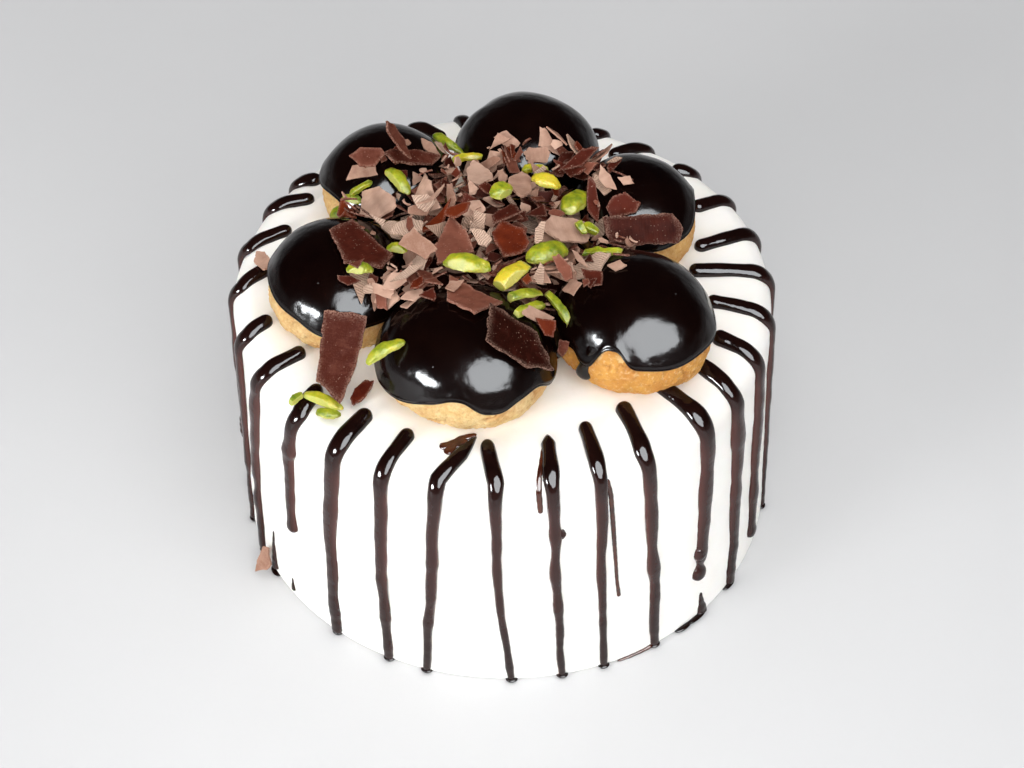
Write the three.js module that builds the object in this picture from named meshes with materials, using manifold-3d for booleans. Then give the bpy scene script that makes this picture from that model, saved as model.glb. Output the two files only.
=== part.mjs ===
// A round cream cake crowned with profiteroles. Six choux buns under a dark chocolate glaze stand in a ring
// round a heap of chocolate shavings and pistachio pieces, and strands of chocolate run over the rim and
// down the side. Millimetres, +Z up. The origin is the centre of the underside, and the front faces -Y.

import * as THREE from 'three';
import Module from 'manifold-3d';

const wasm = await Module();
wasm.setup();

// ---------------------------------------------------------------- driving dimensions

const GAP = 0.35; // clear space kept between neighbouring pieces

// The cake is a low drum, a little narrower at the top and leaning slightly towards -X.
const CAKE_HEIGHT = 95;
const FOOT_RADIUS = 90;
const TOP_RADIUS = 88.5;
const RIM_ROUNDING = 5;
const FOOT_ROUNDING = 1.2;
const CAKE_LEAN = 1.8;
const CAKE_SEGMENTS = 48;

// The strands of poured chocolate, wide where they lie on top and thinner down the side.
const STRAND_WIDTH_ON_TOP = 5.8;
const STRAND_WIDTH_AT_FOOT = 3.4;
const STRAND_HEIGHT = 2.0;
const STRAND_SUNK = 0.9;
const FOOT_POOL_WIDTH = 7;
const FOOT_POOL_SHARE = 0.96; // the share of a strand's run where its pool begins

// The choux buns: widest below the middle, with a narrower foot.
const BUN_SEGMENTS = 18;
const BUN_WAIST = 0.36; // height of the widest place, as a share of the bun's height
const BUN_FOOT = 0.78; // radius of the foot, as a share of the widest radius
const CHOUX_INSET = 0.6; // how much narrower the choux is than the glazed bun, on each side
const GLAZE_THICKNESS = 1.6;
const GLAZE_SEGMENTS = 20;

// The heap of shavings between the buns: flat in the middle, steep at the edge.
const HEAP_X = -6;
const HEAP_HEIGHT = 25;
const HEAP_RADIUS = 47;
const HEAP_STEEPNESS = 3.2;
const HEAP_SEGMENTS = 24;
const HEAP_SHAVINGS = 225;

const SHAVING_THICKNESS = 1.1;
const SHAVING_BEND = 0.8; // how far a shaving's ends curl up

// A pistachio kernel is flatter than it is wide, and its ends droop.
const KERNEL_FLATNESS = 0.72;
const KERNEL_DROOP = 0.08;
const SLIVER_WIDTH = 3.5; // kernels narrower than this are slivers, with fewer faces

// ---------------------------------------------------------------- colours

const COLOURS = {
  cream: 0xfbfaf5,
  choux: 0xf0bc6c,
  glaze: 0x0d0403,
  darkChocolate: 0x4a2219,
  palerChocolate: 0x8a5b4a,
  pistachio: 0xbcc23c,
};

function material(colour, roughness) {
  return new THREE.MeshStandardMaterial({ color: colour, roughness, metalness: 0 });
}

// ---------------------------------------------------------------- shared geometry

const radians = THREE.MathUtils.degToRad;

// A repeatable random number between 0 and 1, by the mulberry32 rule.
function randomFrom(seed) {
  let state = seed;
  return () => {
    state = (state + 0x6d2b79f5) | 0;
    let mixed = Math.imul(state ^ (state >>> 15), 1 | state);
    mixed = (mixed + Math.imul(mixed ^ (mixed >>> 7), 61 | mixed)) ^ mixed;
    return ((mixed ^ (mixed >>> 14)) >>> 0) / 4294967296;
  };
}

// One closed skin through rings of points, shut at each end by a point. Every ring runs counterclockwise
// as seen from the last point, so that all faces point outwards.
function loft(first, rings, last) {
  const sides = rings[0].length;
  const points = [first, ...rings.flat(), last];
  const top = points.length - 1;
  const faces = [];
  for (let side = 0; side < sides; side++) {
    const next = (side + 1) % sides;
    faces.push(0, 1 + next, 1 + side);
    for (let ring = 0; ring + 1 < rings.length; ring++) {
      const low = 1 + ring * sides;
      const high = low + sides;
      faces.push(low + side, low + next, high + next);
      faces.push(low + side, high + next, high + side);
    }
    faces.push(top - sides + side, top - sides + next, top);
  }
  return geometryOf(points.flatMap((point) => point.toArray()), faces);
}

function geometryOf(positions, faces) {
  const geometry = new THREE.BufferGeometry();
  geometry.setAttribute('position', new THREE.Float32BufferAttribute(positions, 3));
  geometry.setIndex(faces);
  geometry.computeVertexNormals();
  return geometry;
}

function solidOf(geometry, place = new THREE.Matrix4()) {
  const placed = geometry.clone().applyMatrix4(place);
  return new wasm.Manifold(
    new wasm.Mesh({
      numProp: 3,
      vertProperties: new Float32Array(placed.attributes.position.array),
      triVerts: new Uint32Array(placed.index.array),
    }),
  );
}

// The largest single body of a solid, without the loose scraps that cutting may leave.
function largestBody(solid) {
  return solid.decompose().reduce((best, body) => (body.volume() > best.volume() ? body : best));
}

function geometryOfSolid(solid) {
  const mesh = solid.getMesh();
  return geometryOf(Array.from(mesh.vertProperties), Array.from(mesh.triVerts));
}

// ---------------------------------------------------------------- the cream cake

// The side isn't a true circle: a spatula leaves it slightly lobed, and the top leans.
function sideRadius(angle, height) {
  const rise = height / CAKE_HEIGHT;
  const straight = THREE.MathUtils.lerp(FOOT_RADIUS, TOP_RADIUS, rise);
  const lobes = 0.8 * Math.sin(3 * angle + 0.73) + 0.45 * Math.sin(5 * angle - 1.12);
  return straight + rise * (lobes - CAKE_LEAN * Math.cos(angle));
}

// The cream's surface at an angle, a given way out from the middle of the top, over the rim and down the
// side: the place and the outward direction there.
function creamSurface(angle, run) {
  const rimRadius = sideRadius(angle, CAKE_HEIGHT) - RIM_ROUNDING;
  const bend = (RIM_ROUNDING * Math.PI) / 2;
  const turn = THREE.MathUtils.clamp((run - rimRadius) / RIM_ROUNDING, 0, Math.PI / 2);
  const down = Math.max(0, run - rimRadius - bend);
  const height = CAKE_HEIGHT - RIM_ROUNDING + RIM_ROUNDING * Math.cos(turn) - down;
  const radius = down > 0 ? sideRadius(angle, height) : Math.min(run, rimRadius) + RIM_ROUNDING * Math.sin(turn);
  return {
    place: new THREE.Vector3(radius * Math.cos(angle), radius * Math.sin(angle), height),
    outward: new THREE.Vector3(Math.sin(turn) * Math.cos(angle), Math.sin(turn) * Math.sin(angle), Math.cos(turn)),
  };
}

// How far along creamSurface a height on the side lies.
function runAtHeight(angle, height) {
  const rimRadius = sideRadius(angle, CAKE_HEIGHT) - RIM_ROUNDING;
  return rimRadius + (RIM_ROUNDING * Math.PI) / 2 + (CAKE_HEIGHT - RIM_ROUNDING - height);
}

function creamDrum() {
  const angles = Array.from({ length: CAKE_SEGMENTS }, (_, i) => (i * 2 * Math.PI) / CAKE_SEGMENTS);
  const sideRing = (height, inset) =>
    angles.map((angle) => {
      const radius = sideRadius(angle, height) - inset;
      return new THREE.Vector3(radius * Math.cos(angle), radius * Math.sin(angle), height);
    });
  const rimRing = (turn) =>
    angles.map((angle) => {
      const rimRadius = sideRadius(angle, CAKE_HEIGHT) - RIM_ROUNDING;
      return creamSurface(angle, rimRadius + turn * RIM_ROUNDING).place;
    });
  const rings = [sideRing(0, FOOT_ROUNDING), sideRing(FOOT_ROUNDING, 0)];
  rings.push(rimRing(Math.PI / 2), rimRing(Math.PI / 4), rimRing(0));
  return loft(new THREE.Vector3(0, 0, 0), rings, new THREE.Vector3(0, 0, CAKE_HEIGHT));
}

// ---------------------------------------------------------------- the strands of chocolate

// Each strand: the angle where it crosses the rim, the radius where it starts, how far off the rim angle
// it starts and ends, and the height where it ends, which is 0 where it reaches the foot and makes a small
// pool there. Angles are in degrees, counterclockwise from +X.
const STRANDS = [
  { rim: -150.1, from: 71.5, start: -4.3, end: -8.4, height: 0 },
  { rim: -138.5, from: 76.5, start: -3, end: -1.7, height: 40 },
  { rim: -126.7, from: 73, start: -0.3, end: -3, height: 0 },
  { rim: -115.2, from: 74.5, start: 0.5, end: -2.2, height: 0 },
  { rim: -104.5, from: 70.5, start: 6.3, end: -3.1, height: 0 },
  { rim: -92.9, from: 72.5, start: -1.9, end: 3.4, height: 0 },
  { rim: -82, from: 70.5, start: 1.7, end: 3.2, height: 0 },
  { rim: -71.9, from: 68.5, start: 1.5, end: 2.3, height: 0 },
  { rim: -61.5, from: 67, start: 3.3, end: 4.1, height: 0 },
  { rim: -46.9, from: 67.5, start: 1.4, end: 1.3, height: 21 },
  { rim: -35.7, from: 69.5, start: 6, end: 2.1, height: 0 },
  { rim: -22, from: 70.5, start: 0.9, end: -0.6, height: 12 },
  { rim: -9.1, from: 65.5, start: 1, end: 0, height: 0 },
  { rim: 3.8, from: 60, start: 0.9, end: 1, height: 8 },
  { rim: 17, from: 64.5, start: -2.6, end: 2, height: 0 },
  { rim: 29.3, from: 72, start: 0.2, end: 2.5, height: 26 },
  { rim: 41.5, from: 79, start: 2.7, end: 0.5, height: 0 },
  { rim: 55.1, from: 72, start: 5.2, end: -1.5, height: 0 },
  { rim: 66.3, from: 79, start: 1.6, end: 1.5, height: 33 },
  { rim: 78, from: 76, start: 1, end: 2, height: 0 },
  { rim: 89, from: 77, start: -1, end: -1.5, height: 0 },
  { rim: 100.3, from: 78.5, start: -1.3, end: 1, height: 15 },
  { rim: 111.3, from: 74.5, start: -5, end: -2, height: 0 },
  { rim: 122, from: 74, start: -1.5, end: 2.5, height: 0 },
  { rim: 132.5, from: 77, start: -1, end: 1, height: 44 },
  { rim: 143.6, from: 81, start: -2.8, end: 0.5, height: 0 },
  { rim: 153.2, from: 77, start: -5.8, end: 2.5, height: 0 },
  { rim: 167, from: 76.5, start: -7.1, end: -1.5, height: 9 },
  { rim: 179.6, from: 77.5, start: -6, end: 1.5, height: 0 },
  { rim: -165.6, from: 78, start: -2.5, end: -2.5, height: 0 },
];

// The strand's width along its run: a round blob at the start, full on top, thin below, and a pool at the foot.
function strandWidth(share, topShare, reachesFoot) {
  const below = THREE.MathUtils.clamp((share - topShare) / (1 - topShare), 0, 1);
  const width = THREE.MathUtils.lerp(STRAND_WIDTH_ON_TOP, STRAND_WIDTH_AT_FOOT, Math.sqrt(below));
  return reachesFoot && share > FOOT_POOL_SHARE ? FOOT_POOL_WIDTH : width;
}

function strand({ rim, from, start, end, height }) {
  const rimAngle = radians(rim);
  const rimRun = sideRadius(rimAngle, CAKE_HEIGHT) - RIM_ROUNDING / 2;
  const reachesFoot = height === 0;
  const lastRun = runAtHeight(rimAngle, reachesFoot ? 0.5 : height);
  const topShare = (rimRun - from) / (lastRun - from);
  const shares = [0.2 * topShare, 0.55 * topShare, 0.85 * topShare, topShare, 1.25 * topShare];
  shares.push(...[0.2, 0.45, 0.7, 0.93].map((step) => THREE.MathUtils.lerp(1.3 * topShare, 1, step)));
  if (reachesFoot) shares.push((1 + FOOT_POOL_SHARE) / 2);
  const surfaceAt = (share) => {
    const before = Math.max(0, 1 - share / topShare);
    const after = Math.max(0, (share - topShare) / (1 - topShare));
    const angle = rimAngle + radians(start * before + end * after);
    return creamSurface(angle, THREE.MathUtils.lerp(from, lastRun, share));
  };
  const rings = shares.map((share) => {
    const { place, outward } = surfaceAt(share);
    const ahead = surfaceAt(Math.min(1, share + 0.01)).place.sub(surfaceAt(share - 0.01).place).normalize();
    const across = new THREE.Vector3().crossVectors(outward, ahead).normalize();
    const half = strandWidth(share, topShare, reachesFoot) / 2;
    const corner = (side, rise) => place.clone().addScaledVector(across, side * half).addScaledVector(outward, rise);
    return [
      corner(-1, -STRAND_SUNK),
      corner(1, -STRAND_SUNK),
      corner(0.6, STRAND_HEIGHT),
      corner(-0.6, STRAND_HEIGHT),
    ];
  });
  const tip = (share) => {
    const { place, outward } = surfaceAt(share);
    return place.addScaledVector(outward, 0.2 * STRAND_HEIGHT);
  };
  return loft(tip(0), rings, tip(1));
}

// ---------------------------------------------------------------- the profiteroles

// Each profiterole: the place of its middle, its size along the ring (wide), across it (deep) and upwards
// (tall) with its glaze, and the glaze's edge as a share of its height. Each drip lowers that edge, or
// raises it where lower is negative, round an angle in degrees, over a spread in degrees.
const PROFITEROLES = {
  front: {
    x: -13.5, y: -45, wide: 55, deep: 49, tall: 31, edge: 0.49,
    drips: [{ at: -68, lower: 0.12, spread: 13 }, { at: -15, lower: 0.16, spread: 16 }],
  },
  right: {
    x: 39.5, y: -30.5, wide: 49, deep: 52, tall: 32, edge: 0.5,
    drips: [{ at: -137, lower: 0.3, spread: 13 }, { at: -108, lower: -0.17, spread: 14 }],
  },
  back_right: {
    x: 41.8, y: 20.2, wide: 43, deep: 42, tall: 30, edge: 0.52,
    drips: [{ at: -5, lower: -0.14, spread: 22 }, { at: 95, lower: 0.12, spread: 20 }],
  },
  back: {
    x: 7, y: 50.4, wide: 47, deep: 45, tall: 31, edge: 0.45,
    drips: [{ at: 70, lower: 0.13, spread: 15 }, { at: 150, lower: -0.12, spread: 20 }],
  },
  back_left: {
    x: -40, y: 36, wide: 44, deep: 43, tall: 30, edge: 0.52,
    drips: [{ at: -145, lower: -0.09, spread: 25 }, { at: 120, lower: 0.14, spread: 18 }],
  },
  left: {
    x: -54.5, y: -11.5, wide: 49, deep: 45, tall: 29, edge: 0.5,
    drips: [{ at: 175, lower: -0.1, spread: 35 }, { at: -98, lower: 0.1, spread: 20 }],
  },
};

// The choux's radius as a share of its widest, at a share of its height.
function bunProfile(rise) {
  if (rise < BUN_WAIST) {
    const under = (BUN_WAIST - rise) / BUN_WAIST;
    return BUN_FOOT + (1 - BUN_FOOT) * Math.sqrt(1 - under * under);
  }
  const over = (rise - BUN_WAIST) / (1 - BUN_WAIST);
  return Math.sqrt(Math.max(0, 1 - over * over));
}

// A point on a bun in its own frame: +X points away from the cake's middle and z = 0 is the cream. Added
// thickness moves the point outwards. The lumps are those of puffed choux.
function bunPoint(bun, angle, rise, added) {
  const lumps = 1 + 0.015 * Math.sin(3 * angle + bun.x) + 0.01 * Math.sin(5 * angle + bun.y);
  const share = bunProfile(rise) * lumps;
  const deep = (bun.deep / 2 - CHOUX_INSET) * share;
  const wide = (bun.wide / 2 - CHOUX_INSET) * share;
  const tall = bun.tall - GLAZE_THICKNESS - GAP;
  const slope = Math.max(0, (rise - BUN_WAIST) / (1 - BUN_WAIST));
  const outwards = added * (share > 0 ? Math.sqrt(1 - slope ** 4) : 0);
  return new THREE.Vector3(
    (deep + outwards) * Math.cos(angle),
    (wide + outwards) * Math.sin(angle),
    GAP + tall * rise + added * slope,
  );
}

// A ring of points round a bun, at the rise that a function gives for each angle.
function bunRing(bun, segments, riseAt, added) {
  const ring = [];
  for (let i = 0; i < segments; i++) {
    const angle = (i * 2 * Math.PI) / segments;
    ring.push(bunPoint(bun, angle, riseAt(angle), added));
  }
  return ring;
}

function choux(bun, grow = 0) {
  const rises = [0, 0.12, BUN_WAIST, 0.56, 0.74, 0.88, 0.97];
  const rings = rises.map((rise) => bunRing(bun, BUN_SEGMENTS, () => rise, grow));
  rings[0].forEach((point) => (point.z -= grow));
  return loft(new THREE.Vector3(0, 0, GAP - grow), rings, bunPoint(bun, 0, 1, grow));
}

// Where the glaze ends at an angle in the bun's own frame, as a share of the bun's height.
function glazeEdge(bun, angle) {
  const turn = Math.atan2(bun.y, bun.x);
  const ripple = 0.015 * Math.sin(7 * angle + bun.x);
  return bun.drips.reduce((edge, { at, lower, spread }) => {
    const off = THREE.MathUtils.euclideanModulo(angle + turn - radians(at) + Math.PI, 2 * Math.PI) - Math.PI;
    return edge - lower * Math.exp(-((off / radians(spread)) ** 2));
  }, bun.edge + ripple);
}

// The glaze as a solid dome that runs into the bun. A rounded lip, thicker than the rest, closes it below.
function glazeDome(bun, grow = 0) {
  const ringAt = (share, added, lowered = 0) => {
    const rise = (angle) => THREE.MathUtils.lerp(glazeEdge(bun, angle), 1, share) - lowered;
    return bunRing(bun, GLAZE_SEGMENTS, rise, added + grow);
  };
  const rings = [
    ringAt(0.03, -2, grow / bun.tall),
    ringAt(0, 0.5 * GLAZE_THICKNESS, grow / bun.tall),
    ringAt(0.07, 1.15 * GLAZE_THICKNESS),
    ringAt(0.3, GLAZE_THICKNESS),
    ringAt(0.62, GLAZE_THICKNESS),
    ringAt(0.88, GLAZE_THICKNESS),
  ];
  const inside = new THREE.Vector3(0, 0, 0.6 * bun.tall);
  return loft(inside, rings, bunPoint(bun, 0, 1, GLAZE_THICKNESS + grow));
}

// ---------------------------------------------------------------- shavings and pistachios

// A thin plate with the given corners, in the plane of X and Y, bent upwards at both ends of its X.
function plate(corners, thickness, bend, grow = 0) {
  const centre = corners.reduce((sum, [x, y]) => [sum[0] + x, sum[1] + y], [0, 0]).map((c) => c / corners.length);
  const reach = Math.max(...corners.map(([x]) => Math.abs(x)));
  const face = (side) =>
    corners.map(([x, y]) => {
      const out = 1 + grow / Math.hypot(x - centre[0], y - centre[1]);
      const lift = bend * (x / reach) ** 2;
      const z = lift + side * (thickness / 2 + grow);
      return new THREE.Vector3(centre[0] + (x - centre[0]) * out, centre[1] + (y - centre[1]) * out, z);
    });
  const hub = (side) => new THREE.Vector3(centre[0], centre[1], side * (thickness / 2 + grow));
  return loft(hub(-1), [face(-1), face(1)], hub(1));
}

// The corners of a broken shaving: a long rough polygon, counterclockwise.
function brokenOutline(length, width, sides, random) {
  const corners = [];
  for (let i = 0; i < sides; i++) {
    const angle = ((i + 0.7 * (random() - 0.5)) * 2 * Math.PI) / sides;
    const reach = 0.85 + 0.3 * random();
    corners.push([(reach * length * Math.cos(angle)) / 2, (reach * width * Math.sin(angle)) / 2]);
  }
  return corners;
}

// A split pistachio kernel along X: pointed at one end, blunt at the other, slightly bent.
function kernel(length, width, grow = 0) {
  const sides = width > SLIVER_WIDTH ? 6 : 5;
  const stations = width > SLIVER_WIDTH ? [0.12, 0.38, 0.68, 0.92] : [0.15, 0.5, 0.86];
  const rings = stations.map((share) => {
    const swell = Math.sin(Math.PI * share ** 0.85) ** 0.7;
    const ring = [];
    for (let i = 0; i < sides; i++) {
      const angle = (i * 2 * Math.PI) / sides;
      const y = (width / 2) * swell * Math.cos(angle) + grow * Math.cos(angle);
      const z = ((KERNEL_FLATNESS * width) / 2) * swell * Math.sin(angle) + grow * Math.sin(angle);
      const droop = KERNEL_DROOP * length * (2 * share - 1) ** 2;
      ring.push(new THREE.Vector3((share - 0.5) * length, y, z - droop));
    }
    return ring;
  });
  const end = (side) => new THREE.Vector3(side * (length / 2 + grow), 0, -KERNEL_DROOP * length);
  return loft(end(-1), rings, end(1));
}

// The large shavings that lie on the heap, the buns and the cream. Each has the place of its middle, the
// turn of its long axis, that axis's pitch and the roll about it, in degrees. The six largest have their
// own corners, and the rest a rough outline of the given length and width.
const SHAVINGS = {
  leaning: {
    at: [-53.3, -41.6, 104.9], turn: -79, pitch: -32, roll: 8, bend: 1.6, thickness: 1.3,
    corners: [[-14, -2], [-4, -5], [8, -8], [16.5, -2], [3, 6], [-10, 11]],
  },
  front_leaf: {
    at: [0.9, -50.9, 119.7], turn: -32, pitch: -38, roll: -10, bend: 0.8, thickness: 1.3, dark: true,
    corners: [[-13, 3.5], [-6.5, -9], [-1, -7.5], [9, -3.5], [16, 3.5], [4.5, 10]],
  },
  right_slab: {
    at: [45.3, 4.9, 113.7], turn: 4, pitch: -16, roll: 37, bend: 0.4, thickness: 1.4, dark: true,
    corners: [[-16, 1.5], [-13, -6.5], [-2, -5.5], [10.5, -3], [12, 2], [7.5, 6.5]],
  },
  left_slab: {
    at: [-46.8, -11.1, 121.4], turn: -64, pitch: -3, roll: -16, bend: 0.5, thickness: 1.4, dark: true,
    corners: [[-13, 3], [-9.5, -7], [6, -8], [10.5, 3], [6, 9]],
  },
  front_slab: {
    at: [-12.5, -37.6, 124.6], turn: -69, pitch: 11, roll: -10, bend: 0.8, thickness: 1.3,
    corners: [[-13.5, -1.5], [-0.5, -7], [9, -1.5], [5, 9.5]],
  },
  middle_slab: {
    at: [-17.4, -12.7, 125], turn: 78, pitch: 9, roll: -6, bend: 0.8, thickness: 1.3, dark: true,
    corners: [[-9.5, 3], [-3, -7.5], [4.5, -3.5], [10.5, 3], [-2.5, 5.5]],
  },
  back_left_red: { at: [-31.6, 31.4, 121.9], turn: 27, pitch: -24, roll: 10, length: 21, width: 8, dark: true },
  upright: { at: [-35.5, 30.5, 130.5], turn: -24, pitch: -58, roll: 0, length: 16, width: 5, dark: true },
  pale_far: { at: [-9.2, 23.3, 121.9], turn: -79, pitch: 14, roll: 4, length: 17, width: 9 },
  pale_near_middle: { at: [4, 14.3, 125], turn: 87, pitch: -10, roll: 7, length: 15, width: 9 },
  red_middle: { at: [0.9, -12, 125.6], turn: -71, pitch: -7, roll: -1, length: 15, width: 13, dark: true },
  ribbed_right: { at: [19.4, -4.2, 122.3], turn: 18, pitch: -23, roll: 10, length: 20, width: 12 },
  right_point: { at: [36.9, 9.2, 120.9], turn: -3, pitch: 14, roll: 36, length: 12, width: 8, dark: true },
  left_pale: { at: [-41.6, 14.5, 117.2], turn: -55, pitch: 17, roll: 30, length: 18, width: 12 },
  left_ribbed: { at: [-33.4, -3.5, 121.6], turn: -47, pitch: 16, roll: 15, length: 19, width: 9 },
  far_tip: { at: [10.4, 33.9, 121], turn: 5, pitch: 0, roll: 40, length: 9, width: 7 },
  on_cream_red: { at: [-46.4, -52.4, 98], turn: 54, pitch: 12, roll: 10, length: 13, width: 5, dark: true },
  on_cream_pale: { at: [-79.8, 8, 97.2], turn: -60, pitch: 8, roll: 12, length: 11, width: 6 },
  at_foot: { at: [-83.3, -42.9, 5.2], turn: 40, pitch: 58, roll: 0, length: 11, width: 6 },
};

// The pistachio pieces: place, turn of the long axis, its pitch, length and width.
const PISTACHIOS = [
  { at: [-13.1, -21.5, 124.6], turn: -15, pitch: 1, length: 15, width: 7 },
  { at: [22.2, 9.5, 122.4], turn: 62, pitch: -14, length: 14.5, width: 8 },
  { at: [0.8, -25.7, 123.3], turn: 41, pitch: 10, length: 14.5, width: 6.5 },
  { at: [-2, 9.7, 126.9], turn: 50, pitch: -5, length: 8, width: 6.5 },
  { at: [-35.5, 19.5, 123.4], turn: -57, pitch: -5, length: 12.5, width: 5.5 },
  { at: [12.6, 17.5, 124], turn: -18, pitch: -10, length: 9.5, width: 5.5 },
  { at: [9.4, 27.6, 120.7], turn: 10, pitch: -10, length: 9.5, width: 2.8 },
  { at: [12.3, -16.2, 124.1], turn: 29, pitch: -7, length: 14.5, width: 8 },
  { at: [4.6, -33, 121.8], turn: 29, pitch: -14, length: 14.5, width: 4 },
  { at: [6.3, -38, 121], turn: 44, pitch: -18, length: 15, width: 3.4 },
  { at: [15.5, -34.9, 117.9], turn: -58, pitch: -14, length: 15, width: 2.8 },
  { at: [29.9, -14.7, 123.4], turn: -12, pitch: 11, length: 16.5, width: 2.6 },
  { at: [26.8, -1.4, 120.3], turn: -16, pitch: -20, length: 6, width: 3.4 },
  { at: [23.3, -2.7, 122.4], turn: -55, pitch: -18, length: 5.5, width: 2.6 },
  { at: [-38.5, -48.5, 112.5], turn: 22, pitch: 20, length: 13, width: 5 },
  { at: [-58.2, -53.9, 97], turn: -26, pitch: 0, length: 13.5, width: 4.8 },
  { at: [-66.3, -53, 96.6], turn: 46, pitch: 0, length: 6, width: 2.6 },
  { at: [-56.3, -59.7, 96.8], turn: -7, pitch: 0, length: 7.5, width: 4 },
  { at: [-47.7, 20.7, 118.6], turn: 20, pitch: 24, length: 8.5, width: 2.8 },
  { at: [-50.7, 19.5, 115.1], turn: -27, pitch: 10, length: 7.5, width: 2.8 },
  { at: [-55.2, 17.5, 110], turn: 60, pitch: 20, length: 6.5, width: 5 },
  { at: [-35.4, -10.9, 121.2], turn: -37, pitch: 19, length: 8, width: 4.2 },
  { at: [-46.5, -21.6, 122.2], turn: 14, pitch: -13, length: 8.5, width: 4.6 },
  { at: [-19.6, 56.2, 106], turn: -38, pitch: -8, length: 12.5, width: 4 },
  { at: [-12.8, 37.5, 117], turn: 8, pitch: 0, length: 10.5, width: 2.8 },
];

// ---------------------------------------------------------------- building the cake

const cake = new THREE.Group();
const obstacles = []; // the solids that later pieces keep clear of

function addNode(name, geometry, finish, frame = {}) {
  const mesh = new THREE.Mesh(geometry, finish);
  mesh.name = name;
  mesh.position.set(...(frame.at ?? [0, 0, 0]));
  const { turn = 0, pitch = 0, roll = 0 } = frame;
  mesh.rotation.set(radians(roll), radians(-pitch), radians(turn), 'ZYX');
  mesh.updateMatrixWorld();
  cake.add(mesh);
  return mesh;
}

// Whether two solids share any space.
function overlap(one, other) {
  const a = one.boundingBox();
  const b = other.boundingBox();
  const apart = [0, 1, 2].some((axis) => a.min[axis] > b.max[axis] || b.min[axis] > a.max[axis]);
  return !apart && !one.intersect(other).isEmpty();
}

// One step while a piece looks for its place. It was dropped from the front and above, so it backs out that way.
const CLIMB = new THREE.Vector3(0, -0.69, 0.72).multiplyScalar(0.4);

// Sets a piece down where it was dropped, or as little short of it as leaves it clear of all the others.
function settle(name, build, finish, frame) {
  const mesh = addNode(name, build(0), finish, frame);
  const grown = build(GAP);
  let solid = solidOf(grown, mesh.matrixWorld);
  while (obstacles.some((other) => overlap(solid, other))) {
    mesh.position.add(CLIMB);
    mesh.updateMatrixWorld();
    solid = solidOf(grown, mesh.matrixWorld);
  }
  obstacles.push(solid);
}

const profiteroles = Object.entries(PROFITEROLES);
const placeOf = (bun) =>
  new THREE.Matrix4().makeRotationZ(Math.atan2(bun.y, bun.x)).setPosition(bun.x, bun.y, CAKE_HEIGHT);

// The cream and its strands are one body. Strands that start below a bun are cut clear of it.
const chouxCutters = profiteroles.map(([, bun]) => solidOf(choux(bun, GAP), placeOf(bun)));
const drum = solidOf(creamDrum());
const strands = STRANDS.map((row) => {
  const solid = solidOf(strand(row));
  return chouxCutters.filter((cutter) => overlap(solid, cutter)).reduce((left, cutter) => left.subtract(cutter), solid);
});
const creamCake = largestBody(strands.reduce((whole, next) => whole.add(next), drum));
addNode('cream_cake', geometryOfSolid(creamCake), material(COLOURS.cream, 0.6));
obstacles.push(creamCake);

// Each bun and its shell of glaze share a place, so the shell is cut clear of the bun in their own frame.
for (const [name, bun] of profiteroles) {
  const frame = { at: [bun.x, bun.y, CAKE_HEIGHT], turn: THREE.MathUtils.radToDeg(Math.atan2(bun.y, bun.x)) };
  const shell = largestBody(solidOf(glazeDome(bun)).subtract(solidOf(choux(bun, GAP))));
  addNode(`choux_${name}`, choux(bun), material(COLOURS.choux, 0.7), frame);
  addNode(`glaze_${name}`, geometryOfSolid(shell), material(COLOURS.glaze, 0.12), frame);
  obstacles.push(solidOf(choux(bun, GAP), placeOf(bun)).add(solidOf(glazeDome(bun, GAP), placeOf(bun))));
}

// The heap's bare core: a low dome of packed shavings, cut clear of the buns round it.
function heapHeight(radius) {
  return HEAP_HEIGHT * (1 - Math.min(1, radius / HEAP_RADIUS) ** HEAP_STEEPNESS);
}

function heapDome() {
  const ringAt = (radius, height) => {
    const ring = [];
    for (let i = 0; i < HEAP_SEGMENTS; i++) {
      const angle = (i * 2 * Math.PI) / HEAP_SEGMENTS;
      const uneven = 1 + 0.05 * Math.sin(4 * angle + 1) + 0.03 * Math.sin(7 * angle);
      ring.push(new THREE.Vector3(radius * uneven * Math.cos(angle), radius * uneven * Math.sin(angle), height));
    }
    return ring;
  };
  const rings = [ringAt(HEAP_RADIUS, 0)];
  for (const share of [0.93, 0.8, 0.6, 0.35]) {
    rings.push(ringAt(share * HEAP_RADIUS, heapHeight(share * HEAP_RADIUS)));
  }
  return loft(new THREE.Vector3(0, 0, 0), rings, new THREE.Vector3(0, 0, HEAP_HEIGHT));
}

const heapPlace = new THREE.Matrix4().makeTranslation(HEAP_X, 0, CAKE_HEIGHT + GAP);
const bare = obstacles.reduce(
  (left, other) => (overlap(left, other) ? left.subtract(other) : left),
  solidOf(heapDome(), heapPlace),
);
const core = largestBody(bare);

// The large shavings and the nuts are set down on the bare core.
obstacles.push(core);
for (const [name, shaving] of Object.entries(SHAVINGS)) {
  const random = randomFrom(Math.round(shaving.at[0] * 7 + shaving.at[1] * 13 + 900));
  const { thickness = SHAVING_THICKNESS, bend = SHAVING_BEND } = shaving;
  const corners = shaving.corners ?? brokenOutline(shaving.length, shaving.width, 6, random);
  const colour = shaving.dark ? COLOURS.darkChocolate : COLOURS.palerChocolate;
  settle(`shaving_${name}`, (grow) => plate(corners, thickness, bend, grow), material(colour, 0.5), shaving);
}
PISTACHIOS.forEach(({ at, turn, pitch, length, width }, index) => {
  const name = `pistachio_${String(index + 1).padStart(2, '0')}`;
  settle(name, (grow) => kernel(length, width, grow), material(COLOURS.pistachio, 0.6), { at, turn, pitch });
});

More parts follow.
